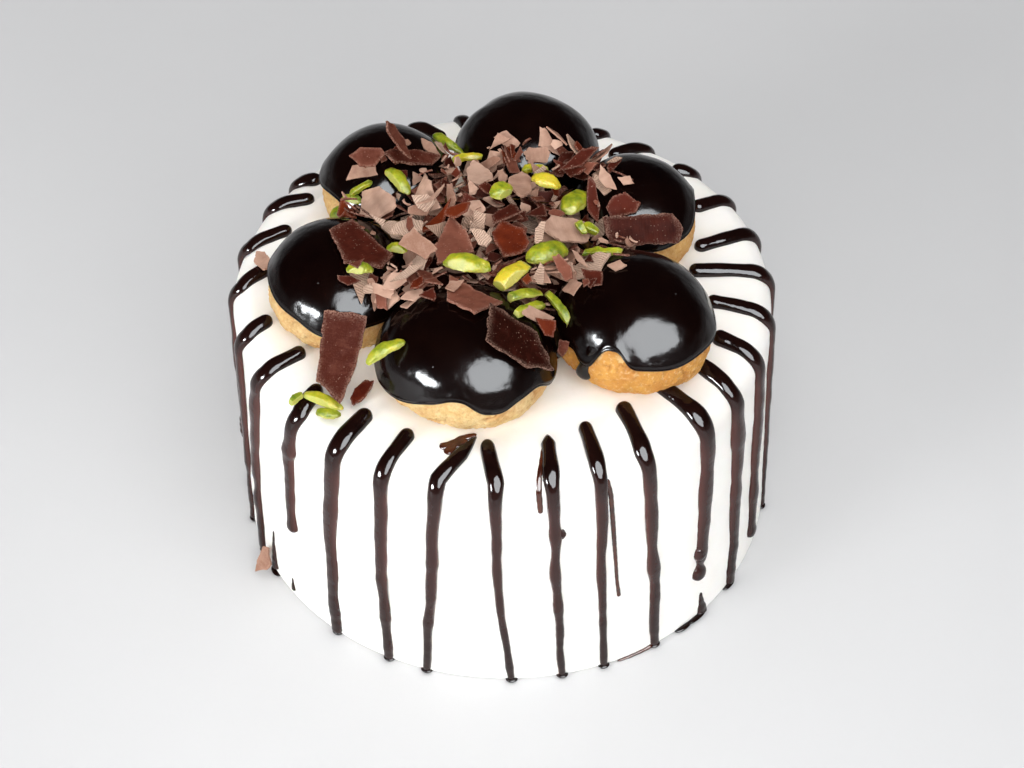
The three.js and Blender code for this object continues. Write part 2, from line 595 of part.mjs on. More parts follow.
// The shavings of the heap itself are fused to the core. Each is skipped where it would cross another piece.
obstacles.splice(obstacles.indexOf(core), 1);
const GOLDEN_ANGLE = Math.PI * (3 - Math.sqrt(5));
const random = randomFrom(41);
let heap = core;
for (let i = 0; i < HEAP_SHAVINGS; i++) {
  const radius = HEAP_RADIUS * Math.sqrt((i + 0.5) / HEAP_SHAVINGS);
  const angle = i * GOLDEN_ANGLE;
  const length = 8 + 7 * random();
  const corners = brokenOutline(length, length * (0.5 + 0.3 * random()), 4, random);
  const piece = new THREE.Object3D();
  const steepness = (radius / HEAP_RADIUS) ** 2;
  piece.position.set(HEAP_X + radius * Math.cos(angle), radius * Math.sin(angle), 0);
  piece.position.z = CAKE_HEIGHT + heapHeight(radius) + 1 + 1.5 * random();
  piece.rotation.set(0.9 * (random() - 0.5), 0.5 * steepness + 0.9 * (random() - 0.5), angle, 'ZYX');
  piece.rotateZ(2 * Math.PI * random());
  piece.updateMatrixWorld();
  const solid = solidOf(plate(corners, SHAVING_THICKNESS, SHAVING_BEND * random()), piece.matrixWorld);
  const guarded = solidOf(plate(corners, SHAVING_THICKNESS + SHAVING_BEND, 0, GAP), piece.matrixWorld);
  if (obstacles.some((other) => overlap(guarded, other))) continue;
  if (overlap(solid, core)) heap = heap.add(solid);
}
addNode('shavings_heap', geometryOfSolid(largestBody(heap)), material(COLOURS.palerChocolate, 0.6));

export default cake;
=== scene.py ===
"""A round cream cake crowned with six glazed profiteroles, a heap of chocolate shavings and pistachios.

Metres, +Z up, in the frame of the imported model: the origin is the centre of the underside, and the front
faces -Y. Sizes are written in millimetres, times MM, or without it where a comment says mm.
"""

import bpy
import numpy as np
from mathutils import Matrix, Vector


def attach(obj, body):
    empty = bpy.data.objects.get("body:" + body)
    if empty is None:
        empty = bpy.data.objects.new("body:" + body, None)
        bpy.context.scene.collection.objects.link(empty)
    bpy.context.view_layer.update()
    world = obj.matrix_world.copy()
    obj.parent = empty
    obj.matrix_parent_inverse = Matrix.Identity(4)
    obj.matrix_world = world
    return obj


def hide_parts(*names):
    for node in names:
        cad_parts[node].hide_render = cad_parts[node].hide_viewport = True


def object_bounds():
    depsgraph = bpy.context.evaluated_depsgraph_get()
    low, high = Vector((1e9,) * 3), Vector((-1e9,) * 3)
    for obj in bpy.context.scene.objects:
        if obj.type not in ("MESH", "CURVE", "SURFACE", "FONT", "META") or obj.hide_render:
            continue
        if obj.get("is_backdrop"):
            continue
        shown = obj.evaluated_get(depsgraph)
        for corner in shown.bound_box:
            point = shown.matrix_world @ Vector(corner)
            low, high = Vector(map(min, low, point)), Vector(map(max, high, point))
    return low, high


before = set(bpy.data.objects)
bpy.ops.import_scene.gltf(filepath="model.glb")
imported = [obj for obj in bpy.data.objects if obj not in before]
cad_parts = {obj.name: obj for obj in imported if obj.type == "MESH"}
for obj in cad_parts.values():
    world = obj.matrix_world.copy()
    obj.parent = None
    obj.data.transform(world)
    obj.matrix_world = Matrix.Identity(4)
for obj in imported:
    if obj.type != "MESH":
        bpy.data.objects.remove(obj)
cad_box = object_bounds()

# ---------------------------------------------------------------- the cream
# A low drum of sponge under whipped cream, smoothed with a warm spatula on a turntable. It is a hair
# narrower at the top, leans slightly, has a soft rim, and keeps faint lines where the blade passed.

MM = 0.001
CAKE_HEIGHT = 95 * MM
FOOT_RADIUS = 90 * MM
TOP_RADIUS = 88.5 * MM
RIM_ROUNDING = 8 * MM
FOOT_ROUNDING = 1.2 * MM
CAKE_LEAN = 1.8 * MM
THREE_LOBES = 0.8 * MM
FIVE_LOBES = 0.45 * MM
CREAM_SEGMENTS = 400
RIM_FALL = 0.6 * MM
RIM_FALL_FROM = 70 * MM
CREAM_WAVES = 0.22 * MM
BLADE_LINES = 0.05 * MM


def side_radius(angle, height):
    """Radius of the side at an angle and a height: a straight taper from foot to top, plus lobes of three and
    five waves and a lean towards -X, both of which grow with the height."""
    rise = height / CAKE_HEIGHT
    lobes = THREE_LOBES * np.sin(3 * angle + 0.73) + FIVE_LOBES * np.sin(5 * angle - 1.12)
    return FOOT_RADIUS + (TOP_RADIUS - FOOT_RADIUS) * rise + rise * (lobes - CAKE_LEAN * np.cos(angle))


def cream_surface(angle, run):
    """Place and outward direction on the cream at a run out from the middle of the top: level, with a slight
    fall near the rim that goes with the square of the run, then a quarter circle over the rim, then straight
    down the side."""
    rim_radius = side_radius(angle, CAKE_HEIGHT) - RIM_ROUNDING
    turn = np.clip((run - rim_radius) / RIM_ROUNDING, 0, np.pi / 2)
    down = np.maximum(0, run - rim_radius - RIM_ROUNDING * np.pi / 2)
    height = CAKE_HEIGHT - RIM_ROUNDING + RIM_ROUNDING * np.cos(turn) - down
    narrowing = side_radius(angle, height) - side_radius(angle, CAKE_HEIGHT)
    falling = np.clip((run - RIM_FALL_FROM) / (rim_radius - RIM_FALL_FROM), 0, 1) ** 2
    height = height - RIM_FALL * falling * (height / CAKE_HEIGHT) ** 3
    radius = np.minimum(run, rim_radius) + RIM_ROUNDING * np.sin(turn) + narrowing
    place = np.stack([radius * np.cos(angle), radius * np.sin(angle), height], -1)
    outward = np.stack([np.sin(turn) * np.cos(angle), np.sin(turn) * np.sin(angle), np.cos(turn)], -1)
    return place, outward


def run_at_height(angle, height):
    """How far along cream_surface a height on the side lies."""
    rim_radius = side_radius(angle, CAKE_HEIGHT) - RIM_ROUNDING
    return rim_radius + RIM_ROUNDING * np.pi / 2 + CAKE_HEIGHT - RIM_ROUNDING - height


def ripple(points, size, seed, waves=14):
    """A smooth random height, mostly between -1 and 1: the sum of plane waves in random directions, with
    lengths near the given size, over the square root of their number."""
    dice = np.random.default_rng(seed)
    directions = dice.normal(size=(waves, points.shape[-1]))
    directions /= np.linalg.norm(directions, axis=1, keepdims=True)
    directions *= 2 * np.pi / (size * dice.uniform(0.7, 1.5, (waves, 1)))
    return np.sin(points @ directions.T + dice.uniform(0, 2 * np.pi, waves)).sum(-1) / np.sqrt(waves)


def skin(first, rings, last):
    """A closed skin through rings of points: four-cornered faces between neighbouring rings, and a fan to one
    point at each end. A fan's faces have -1 as their fourth corner. Its signed volume is the sum over the
    faces of corner . (corner x corner) from its middle. Where that is negative the faces are turned over."""
    count, sides = rings.shape[:2]
    points = np.concatenate([first[None], rings.reshape(-1, 3), last[None]])
    side = 1 + np.arange(sides)
    following = 1 + (np.arange(sides) + 1) % sides
    ring_starts = sides * np.arange(count - 1)[:, None]
    near, far = side + ring_starts, following + ring_starts
    between = np.stack([near, far, far + sides, near + sides], -1).reshape(-1, 4)
    blank = np.full(sides, -1)
    foot = np.stack([np.zeros(sides, int), following, side, blank], -1)
    top = (count - 1) * sides
    head = np.stack([np.full(sides, len(points) - 1), top + side, top + following, blank], -1)
    faces = np.concatenate([foot, between, head])
    centred = points - points.mean(0)
    a, b, c = (centred[faces[:, corner]] for corner in range(3))
    if np.einsum("ij,ij", a, np.cross(b, c)) < 0:
        turned = faces[:, [0, 3, 2, 1]]
        faces = np.where(faces[:, 3:] < 0, faces[:, [0, 2, 1, 3]], turned)
    return points, faces


def add_piece(name, whole, material, slot, stands_for, crease=None, **values):
    """One mesh object of a closed skin: smooth, but for edges that bend by more than the crease in degrees,
    and with a named value per point for its material. It rides on the only body."""
    points, faces = whole
    corners = faces[faces >= 0]
    sizes = (faces >= 0).sum(1)
    mesh = bpy.data.meshes.new(name)
    mesh.vertices.add(len(points))
    mesh.vertices.foreach_set("co", points.astype(np.float32).ravel())
    mesh.loops.add(len(corners))
    mesh.loops.foreach_set("vertex_index", corners.astype(np.int32))
    mesh.polygons.add(len(faces))
    mesh.polygons.foreach_set("loop_start", (np.cumsum(sizes) - sizes).astype(np.int32))
    mesh.polygons.foreach_set("use_smooth", np.ones(len(faces), bool))
    mesh.update(calc_edges=True)
    if crease:
        mesh.set_sharp_from_angle(angle=np.radians(crease))
    for label, value in values.items():
        mesh.attributes.new(label, "FLOAT", "POINT").data.foreach_set("value", value.astype(np.float32))
    mesh.materials.append(material)
    piece = bpy.data.objects.new(name, mesh)
    bpy.context.scene.collection.objects.link(piece)
    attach(piece, "root")
    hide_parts(*stands_for)
    return piece


def colour(red, green, blue):
    """A screen colour, 0 to 255, as the linear one that Blender reads, by the sRGB curve."""
    screen = np.array([red, green, blue]) / 255
    linear = np.where(screen <= 0.04045, screen / 12.92, ((screen + 0.055) / 1.055) ** 2.4)
    return (*linear.tolist(), 1.0)


def add_node(tree, kind, inputs=None, **settings):
    """A shader node with its settings, and a value or a link for each input that is named."""
    made = tree.nodes.new(kind)
    for key, value in settings.items():
        setattr(made, key, value)
    for key, value in (inputs or {}).items():
        if isinstance(value, bpy.types.NodeSocket):
            tree.links.new(value, made.inputs[key])
        else:
            made.inputs[key].default_value = value
    return made


def object_place(tree):
    return add_node(tree, "ShaderNodeTexCoord").outputs["Object"]


def figure(tree, operation, one, other=0.0, added=0.0, clamp=False):
    """One sum, product or other figure of two values, and of a third one that is added to a product."""
    inputs = {0: one, 1: other, 2: added}
    return add_node(tree, "ShaderNodeMath", inputs, operation=operation, use_clamp=clamp).outputs[0]


def spread(tree, value, low, high):
    """A value stretched so that low becomes 0 and high becomes 1, and held there."""
    inputs = {"Value": value, "From Min": low, "From Max": high}
    return add_node(tree, "ShaderNodeMapRange", inputs).outputs[0]


def mixed(tree, share, one, other):
    """Two colours mixed: the first at share 0 and the other at share 1."""
    inputs = {0: share, 6: one, 7: other}
    return add_node(tree, "ShaderNodeMix", inputs, data_type="RGBA").outputs[2]


def noise(tree, place, size, detail=3.0, roughness=0.55):
    """Cloudy noise whose lumps are of the given size in metres."""
    inputs = {"Vector": place, "Scale": 1 / size, "Detail": detail, "Roughness": roughness}
    return add_node(tree, "ShaderNodeTexNoise", inputs).outputs[0]


def new_group(name, inputs, outputs):
    """An empty node group with named inputs and their first values, and named outputs."""
    group = bpy.data.node_groups.new(name, "ShaderNodeTree")
    for label, value in inputs.items():
        kind = "NodeSocketColor" if isinstance(value, tuple) else "NodeSocketFloat"
        group.interface.new_socket(label, in_out="INPUT", socket_type=kind).default_value = value
    for label, kind in outputs.items():
        group.interface.new_socket(label, in_out="OUTPUT", socket_type=kind)
    return group, group.nodes.new("NodeGroupInput").outputs, group.nodes.new("NodeGroupOutput").inputs


def new_material(name, **shader_values):
    """A material whose shader has the given plain values, with its tree and its shader's inputs."""
    material = bpy.data.materials.new(name)
    material.use_nodes = True
    inputs = material.node_tree.nodes["Principled BSDF"].inputs
    for label, value in shader_values.items():
        inputs[label.replace("_", " ")].default_value = value
    return material, material.node_tree, inputs


def raise_relief(tree, inputs, height, depth):
    """Small relief: a height from 0 to 1 times a depth in metres, fed to the shader's normal."""
    bump = add_node(tree, "ShaderNodeBump", {"Height": height, "Distance": depth})
    tree.links.new(bump.outputs[0], inputs["Normal"])


# Clouds of two colours, which the cream, the chocolate, the crust, the kernels and the floor all use.
clouds, given, out = new_group(
    "Clouds",
    {"Light": (1.0, 1.0, 1.0, 1.0), "Dark": (0.0, 0.0, 0.0, 1.0), "Size": 0.01, "Contrast": 0.3},
    {"Color": "NodeSocketColor", "Mask": "NodeSocketFloat"},
)
scale = figure(clouds, "DIVIDE", 1.0, given["Size"])
cloud_inputs = {"Vector": object_place(clouds), "Scale": scale, "Detail": 4.0, "Roughness": 0.6}
cloud = add_node(clouds, "ShaderNodeTexNoise", cloud_inputs).outputs[0]
half = figure(clouds, "MULTIPLY", given["Contrast"], 0.5)
mask = spread(clouds, cloud, figure(clouds, "SUBTRACT", 0.5, half), figure(clouds, "ADD", 0.5, half))
clouds.links.new(mixed(clouds, mask, given["Dark"], given["Light"]), out["Color"])
clouds.links.new(mask, out["Mask"])


def add_clouds(tree, light, dark, size, contrast=0.3):
    inputs = {"Light": light, "Dark": dark, "Size": size, "Contrast": contrast}
    return add_node(tree, "ShaderNodeGroup", inputs, node_tree=clouds).outputs


CREAM = colour(253, 251, 247)
CREAM_SHADE = colour(250, 247, 240)
CREAM_GRAIN = 0.05 * MM
cream_finish, tree, shader = new_material(
    "whipped cream", Roughness=0.55, Subsurface_Weight=0.06, Subsurface_Scale=1.5 * MM, Specular_IOR_Level=0.2
)
tree.links.new(add_clouds(tree, CREAM, CREAM_SHADE, 25 * MM)["Color"], shader["Base Color"])
raise_relief(tree, shader, noise(tree, object_place(tree), 1.2 * MM, 5.0), CREAM_GRAIN)

angles = np.arange(CREAM_SEGMENTS) * 2 * np.pi / CREAM_SEGMENTS
rim_runs = side_radius(angles, CAKE_HEIGHT) - RIM_ROUNDING
side_heights = np.linspace(FOOT_ROUNDING, CAKE_HEIGHT - RIM_ROUNDING, 90)[:, None]
runs = np.concatenate(
    [
        run_at_height(angles, side_heights),
        rim_runs + RIM_ROUNDING * np.linspace(np.pi / 2, 0, 12)[1:, None],
        rim_runs * np.linspace(1, 0.02, 60)[1:, None],
    ]
)
place, outward = cream_surface(angles, runs)
blade = np.stack([runs, 7 * MM * np.cos(angles) + 0 * runs, 7 * MM * np.sin(angles) + 0 * runs], -1)
marks = CREAM_WAVES * ripple(place, 28 * MM, 3) + BLADE_LINES * ripple(blade, 5 * MM, 4)
place += outward * (marks * np.clip(place[..., 2] / (6 * MM), 0, 1))[..., None]
foot_turns = np.linspace(np.pi / 2, 0, 4)[:-1, None]
foot_radius = side_radius(angles, FOOT_ROUNDING) - FOOT_ROUNDING * (1 - np.cos(foot_turns))
foot_height = FOOT_ROUNDING * (1 - np.sin(foot_turns)) + 0 * foot_radius
foot = np.stack([foot_radius * np.cos(angles), foot_radius * np.sin(angles), foot_height], -1)
drum = skin(np.zeros(3), np.concatenate([foot, place]), np.array([0, 0, CAKE_HEIGHT]))
add_piece("cream", drum, cream_finish, "cream", ["cream_cake"])

# ---------------------------------------------------------------- the strands of chocolate
# Thirty strands of warm glaze, poured from a spoon: each starts as a fat blob on top, runs over the rim and
# thins on its way down. Most reach the foot and stand there in a small pool, and a few stop short.

STRAND_WIDTH_ON_TOP = 5.1 * MM
STRAND_WIDTH_AT_FOOT = 3.0 * MM
STRAND_HEIGHT = 2.3 * MM
STRAND_SUNK = 0.5 * MM
STRAND_SIDES = 20
BLUNT_START = 2.7
END_ROUNDING = 2.1 * MM
DROP_SWELL = 0.36
RIM_SWELL = 0.12
SLOW_SWELLS = 0.06
QUICK_SWELLS = 0.04
KNOTS = 3
POOL_REACH = 1.6 * MM
POOL_WIDTH = 2.0 * MM
POOL_DEPTH = 1.3 * MM
# The next two lengths shape the painted sheen on the strands' sides: how far below the rim it grows in, and
# the height below which it fades towards the foot.
SHEEN_GROWS_OVER = 14 * MM
SHEEN_FADES_BELOW = 50 * MM

# The angle where each strand crosses the rim, the radius where it starts, how far off the rim angle it starts
# and ends, the height where it ends, and how far it bows on its way. Angles in degrees, lengths in mm.
STRANDS = [
    (-153.5, 72, -0.9, -5, 0, -2.3),
    (-139.3, 75.5, -2.6, -2.7, 36, -1.1),
    (-127.2, 72.5, 0.2, -2.3, 0, -1.2),
    (-116, 73, 1.2, -0.2, 0, -0.8),
    (-104.7, 69.5, 6.2, -2.9, 0, 0),
    (-92.9, 71, -2.9, 3.4, 0, -1.1),
    (-81.5, 69, 1.2, 2.7, 0, -0.2),
    (-71.3, 67.5, 1.3, 1.7, 0, -0.2),
    (-60.7, 65.5, 3, 3.4, 0, 0.4),
    (-44.9, 64, 0.2, -0.6, 20, 0.9),
    (-34, 65.5, 2.9, 0.9, 0, 0.9),
    (-22, 70.5, 0.9, -0.6, 8, 0.4),
    (-9.1, 65.5, 1, 0, 0, 0.5),
    (3.8, 60, 0.9, 1, 8, -0.5),
    (17, 64.5, -2.6, 2, 0, 0.6),
    (29.3, 72, 0.2, 2.5, 26, 0),
    (41.5, 79, 2.7, 0.5, 0, 0.8),
    (55.1, 72, 5.2, -1.5, 0, -0.6),
    (66.3, 79, 1.6, 1.5, 33, 0),
    (78, 76, 1, 2, 0, 0.5),
    (89, 77, -1, -1.5, 0, -0.7),
    (100.3, 78.5, -1.3, 1, 15, 0.4),
    (111.3, 74.5, -5, -2, 0, 0),
    (122, 74, -1.5, 2.5, 0, 0.8),
    (132.5, 77, -1, 1, 44, 0),
    (143.6, 81, -2.8, 0.5, 0, -0.6),
    (153.2, 77, -5.8, 2.5, 0, 0.5),
    (167, 76.5, -7.1, -1.5, 9, 0),
    (179.6, 77.5, -6, 1.5, 0, 0.6),
    (-165.6, 78, -2.5, -2.5, 0, 0),
]

# Strands that start in a drawn-out point instead of a round blob, and how long the point is in mm. The blobs
# of the others are rounded over BLUNT_START, which is in mm too.
POINTED = {-104.7: 8, -81.5: 4}

# The width on the side of each strand that isn't as wide as the others, as a share of theirs.
WIDTHS = {-153.5: 1.25, -139.3: 1.18, -127.2: 1.35, -116: 1.06, -104.7: 0.95, -92.9: 0.78, -81.5: 0.8}
WIDTHS |= {-71.3: 0.82, -60.7: 1.12, -44.9: 1.45, -34: 1.38, -22: 1.4, 29.3: 0.85, 78: 0.9, 132.5: 0.85}

# Strands that draw in to a neck above the drop at their lower end.
NECKED = [-44.9, 3.8, 100.3]

# Wider pools at the foot, where drops ran together: the angle in degrees and half the width in mm.
WIDER_POOLS = [(-45.5, 5), (-49.5, 3.6), (-33.5, 3.6), (-151.5, 2.8)]


def ribbon(angles, runs, half_widths, heights):
    """A bead of chocolate on the cream. Its cross section is half an oval on the surface, with a shallower
    half below it, swept along the surface at the angle that goes with each run."""
    place, outward = cream_surface(angles, runs)
    ahead = np.gradient(place, axis=0)
    across = np.cross(outward, ahead)
    across /= np.linalg.norm(across, axis=-1, keepdims=True)
    turn = np.arange(STRAND_SIDES) * 2 * np.pi / STRAND_SIDES
    side = np.cos(turn) * np.abs(np.cos(turn)) ** -0.2 * half_widths[:, None]
    low = -STRAND_SUNK * np.minimum(1, heights / STRAND_SUNK)
    rise = np.where(np.sin(turn) > 0, np.sin(turn) * heights[:, None], -np.sin(turn) * low[:, None])
    rings = place[:, None] + across[:, None] * side[..., None] + outward[:, None] * rise[..., None]
    return skin(rings[0].mean(0), rings, rings[-1].mean(0))


def strand(rim, start_radius, start, end, end_height, bow):
    """One strand: it bends evenly from its start to the rim and from the rim to its end, with a bow and a
    slight waver below the rim. Its width falls steeply at first and then slowly on the way down, with random
    swells and a few short knots, each a bell's shape. Its ends are rounded. One that stops short of the foot
    swells into a drop, some of them below a neck."""
    seed = int(abs(rim) * 10)
    dice = np.random.default_rng(seed)
    rim_angle = np.radians(rim)
    first = start_radius * MM
    reaches_foot = end_height == 0
    last = run_at_height(rim_angle, (0.5 if reaches_foot else end_height) * MM)
    rim_run = side_radius(rim_angle, CAKE_HEIGHT) - RIM_ROUNDING / 3
    blunt = POINTED.get(rim, BLUNT_START) * MM
    caps = np.linspace(0.12, np.pi / 2, 9)
    begin = first + blunt * (1 - np.cos(caps))
    finish = last - END_ROUNDING * (1 - np.cos(caps))[::-1]
    runs = np.concatenate([begin[:-1], np.linspace(begin[-1], finish[0], 105), finish[1:]])

    before = np.clip((rim_run - runs) / (rim_run - first), 0, 1)
    after = np.clip((runs - rim_run) / (last - rim_run), 0, 1)
    waver = 0.4 * dice.uniform(0.6, 1.2) * np.sin(after * dice.uniform(9, 14) + dice.uniform(0, 6))
    waver += 0.16 * np.sin(after * dice.uniform(18, 30) + dice.uniform(0, 6))
    turned = rim + start * before + end * after + bow * np.sin(np.pi * after)
    turned += waver * (after * (1 - after)) ** 0.6

    width = STRAND_WIDTH_ON_TOP + (STRAND_WIDTH_AT_FOOT - STRAND_WIDTH_ON_TOP) * after**0.7
    width *= 1 + (WIDTHS.get(rim, 1) - 1) * np.minimum(1, 0.3 + 3 * after)
    along = np.stack([runs, 0 * runs], -1)
    quick_swells = QUICK_SWELLS * ripple(along, 5 * MM, seed + 2) * after
    width *= 1 + SLOW_SWELLS * ripple(along, 13 * MM, seed + 1) + quick_swells
    for knot in dice.uniform(0.2, 0.95, KNOTS):
        size = dice.uniform(-0.14, 0.26)
        reach = np.where(after < knot, 0.055, 0.036)
        width *= 1 + size * np.exp(-(((after - knot) / reach) ** 2))
    width *= 1 + RIM_SWELL * np.exp(-(((runs - rim_run) / (5 * MM)) ** 2))
    round_start = np.sqrt(np.clip(1 - (1 - np.clip((runs - first) / blunt, 0, 1)) ** 2, 0.01, 1))
    if rim in POINTED:
        round_start = np.clip((runs - first) / blunt, 0.04, 1) ** 0.8
    round_end = np.sqrt(np.clip(1 - (1 - np.clip((last - runs) / END_ROUNDING, 0, 1)) ** 2, 0.01, 1))
    if not reaches_foot:
        width *= 1 + DROP_SWELL * np.exp(-(((last - 3 * MM - runs) / (3.4 * MM)) ** 2))
    if rim in NECKED:
        width *= 1 - DROP_SWELL * np.exp(-(((last - 7 * MM - runs) / (1.8 * MM)) ** 2))
    height = STRAND_HEIGHT * (width / STRAND_WIDTH_ON_TOP) ** 0.8 * (0.9 + 0.4 * before)
    height *= round_start**0.7 * round_end**0.7
    return ribbon(np.radians(turned), runs, width / 2 * round_start * round_end, height)


def trickle(stations, plumpness=0.34):
    """A thin bead of glaze through stations on the cream, each an angle in degrees, a run and a width in mm,
    rounded at both ends. Straight steps between the stations are eased by a running mean of five. It stands
    as high as its width times the plumpness."""
    angles, runs, widths = np.array(stations, float).T
    share = (1 - np.cos(np.linspace(0.08, np.pi - 0.08, 60))) / 2
    walked = np.concatenate([[0], np.cumsum(np.hypot(np.diff(runs), 1.5 * np.diff(angles)))])
    here = share * walked[-1]
    smooth = np.array([0.1, 0.2, 0.4, 0.2, 0.1])

    def eased(values):
        plain = np.interp(here, walked, values)
        return np.convolve(np.pad(plain, 2, mode="edge"), smooth, mode="valid")

    ends = np.sqrt(np.clip(np.minimum(here, walked[-1] - here) / 0.9, 0.02, 1))
    full = eased(widths) * ends * (1 + 0.05 * np.sin(here * 1.9 + angles[0]))
    return ribbon(np.radians(eased(angles)), eased(runs) * MM, full * MM / 2, plumpness * full * MM)


def blob(centre, radii, turn, sides=28, levels=14):
    """A drop of glaze: an ellipsoid with the given half axes, turned about +Z."""
    polar = np.linspace(-np.pi / 2, np.pi / 2, levels + 2)[1:-1, None]
    around = np.arange(sides) * 2 * np.pi / sides
    oval = np.stack(
        [np.cos(polar) * np.cos(around), np.cos(polar) * np.sin(around), np.sin(polar) + 0 * around], -1
    )
    c, s = np.cos(turn), np.sin(turn)
    rings = (oval * radii) @ np.array([[c, s, 0], [-s, c, 0], [0, 0, 1]]) + centre
    pole = np.array([0, 0, radii[2]])
    return skin(centre - pole, rings, centre + pole)


def thin_and_sheen_edges(points):
    """How much lighter brown is painted on a bead at each of its points. This is a painted sheen down the
    side that stands in for reflections, together with the brown of thin chocolate at its edges. It runs from
    0.3 on the crest to 1 at the edges, with the cube of how far across it the point lies. It grows from
    nought at the rim over SHEEN_GROWS_OVER, so the top stays dark, and falls from SHEEN_FADES_BELOW down to
    the thick drops at the foot, so the side is painted darker towards the foot."""
    across = 0.3 + 0.7 * np.abs(np.cos(np.arange(STRAND_SIDES) * 2 * np.pi / STRAND_SIDES)) ** 3
    edges = np.concatenate([[0], np.tile(across, (len(points) - 2) // STRAND_SIDES), [0]])
    low = np.clip(points[:, 2] / SHEEN_FADES_BELOW, 0.3, 1)
    return edges * low * np.clip((CAKE_HEIGHT - points[:, 2]) / SHEEN_GROWS_OVER, 0, 1)


def foot_pool(angle, width):
    """A pool where a strand stands on the ground: a low drop against the foot, half of it under the cake. The
    angle is in degrees."""
    turn = np.radians(angle)
    outwards = np.array([np.cos(turn), np.sin(turn), 0])
    middle = outwards * side_radius(turn, 0) + [0, 0, 0.5 * POOL_DEPTH]
    return blob(middle, [POOL_REACH, width, 0.5 * POOL_DEPTH], turn)


def join(skins):
    """Several skins as one: their points in a row, and each one's faces counted on from the last."""
    starts = np.cumsum([0] + [len(points) for points, _ in skins[:-1]])
    faces = [np.where(corners < 0, -1, corners + start) for (_, corners), start in zip(skins, starts)]
    return np.concatenate([points for points, _ in skins]), np.concatenate(faces)


def point_value(tree, label):
    """A named value that the mesh carries at each of its points."""
    return add_node(tree, "ShaderNodeAttribute", attribute_name=label).outputs["Fac"]


def tinted(tree, base, tint, mask, share):
    """A colour mixed towards a tint by a mask times a share."""
    return mixed(tree, figure(tree, "MULTIPLY", mask, share), base, tint)


drizzle_finish, tree, shader = new_material("poured chocolate", Roughness=0.1, IOR=1.34)
POURED_DARK = colour(14, 5, 4)
POURED_BROWN = colour(30, 12, 9)
# The strands' edges on the side are tinted lighter brown by their "thin" value. This is a painted sheen that
# stands in for reflections, together with the brown of thin chocolate at the edges.
THIN_AND_SHEEN_BROWN = colour(98, 58, 52)
poured = add_clouds(tree, POURED_BROWN, POURED_DARK, 7 * MM, 0.5)["Color"]
tree.links.new(tinted(tree, poured, THIN_AND_SHEEN_BROWN, point_value(tree, "thin"), 0.7), shader["Base Color"])
raise_relief(tree, shader, noise(tree, object_place(tree), 5 * MM, 2.0), 0.25 * MM)

strands = [strand(*row) for row in STRANDS]

# Drops that ran down to the foot by themselves, and beads that stand on strands or off them.
strands += [
    trickle([(-44.3, 167, 1.2), (-43.9, 172, 2.4), (-43.6, 176.7, 4.6), (-43.8, 178, 5.4)], 0.3),
    trickle([(-151.4, 159, 0.8), (-151.8, 167, 1.8), (-151.6, 174, 3.2), (-151.4, 178, 4.2)], 0.35),
    trickle([(-143.8, 171.5, 0.6), (-143.7, 175, 1.5), (-143.6, 178, 2.4)], 0.4),
    trickle([(-172, 133, 1.6), (-173, 139, 3.2), (-173.6, 146, 3.4), (-174, 150, 1.8)], 0.5),
    trickle([(-79.4, 106.5, 1.0), (-79.2, 109, 2.0), (-79.5, 111.5, 1.2)], 0.6),
    trickle([(-45.5, 142, 2.6), (-45.4, 145.5, 5.2), (-45.5, 149, 2.8)], 0.5),
]
pools = [foot_pool(rim + end, POOL_WIDTH) for rim, _, _, end, end_height, _ in STRANDS if end_height == 0]
pools += [foot_pool(at, width * MM) for at, width in WIDER_POOLS]
# The strands carry their painted sheen as the "thin" value, and the pools get none.
thin_and_sheen_values = [thin_and_sheen_edges(points) for points, _ in strands] + [np.zeros(len(points)) for points, _ in pools]
poured_skin = join(strands + pools)
add_piece("drizzle", poured_skin, drizzle_finish, "drizzle", ["cream_cake"], thin=np.concatenate(thin_and_sheen_values))

# Trickles so thin that they look brown: some beside a strand, some that ran on from the foot of one.
thin_finish, tree, shader = new_material(
    "thin chocolate", Roughness=0.14, Subsurface_Weight=0.2, Subsurface_Scale=0.6 * MM
)
TRICKLE_LIGHT = colour(84, 38, 20)
TRICKLE_DARK = colour(54, 22, 13)
tree.links.new(add_clouds(tree, TRICKLE_LIGHT, TRICKLE_DARK, 5 * MM, 0.4)["Color"], shader["Base Color"])
trickles = [
    trickle([(-81.2, 72.5, 2.4), (-82.6, 78, 1.9), (-84, 84.5, 1.8), (-84.3, 89.5, 2.0), (-83.9, 98.5, 1.7)]),
    trickle(
        [(-70.1, 88.5, 1.8), (-69.1, 95.5, 1.7), (-68.3, 111.5, 1.6), (-67.1, 138, 1.2), (-66.5, 146, 1.5)]
    ),
    trickle([(-98.6, 68.2, 1.4), (-101.8, 70.6, 2.6), (-104.2, 73.6, 2.4), (-106.6, 76, 2.9)], 0.25),
    trickle([(-100.6, 70.8, 2.2), (-103.4, 74.2, 3.2), (-104.8, 78, 3.0)], 0.22),
    trickle([(-117.3, 95.6, 0.9), (-117.3, 97.6, 1.3), (-117.4, 99.4, 0.8)], 0.45),
    trickle([(-57.9, 177.8, 1.8), (-60, 178.3, 1.4), (-63.5, 178.6, 1.1), (-66.5, 178.7, 0.7)], 0.5),
]
add_piece("thin_trickles", join(trickles), thin_finish, "drizzle", ["cream_cake"])

# ---------------------------------------------------------------- the choux buns
# Six baked choux buns stand in a ring on the cream, widest below the middle. Their crust is thin and golden,
# freckled, and split in places where it rose.

GAP = 0.35 * MM
BUN_WAIST = 0.36
BUN_FOOT = 0.78
CHOUX_INSET = 0.6 * MM
GLAZE_THICKNESS = 1.6 * MM
CHOUX_SEGMENTS = 300
CHOUX_LEVELS = 64
CHOUX_SUNK = 0.9 * MM

# Relief of the crust, in mm: broad and small lumps, grain, flakes that stand up, splits and pits.
BROAD_LUMPS = 0.25
SMALL_LUMPS = 0.14
CRUST_GRAIN = 0.07
FLAKE_RISE = 0.4
SPLIT_DEPTH = 0.85
PIT_DEPTH = 0.3

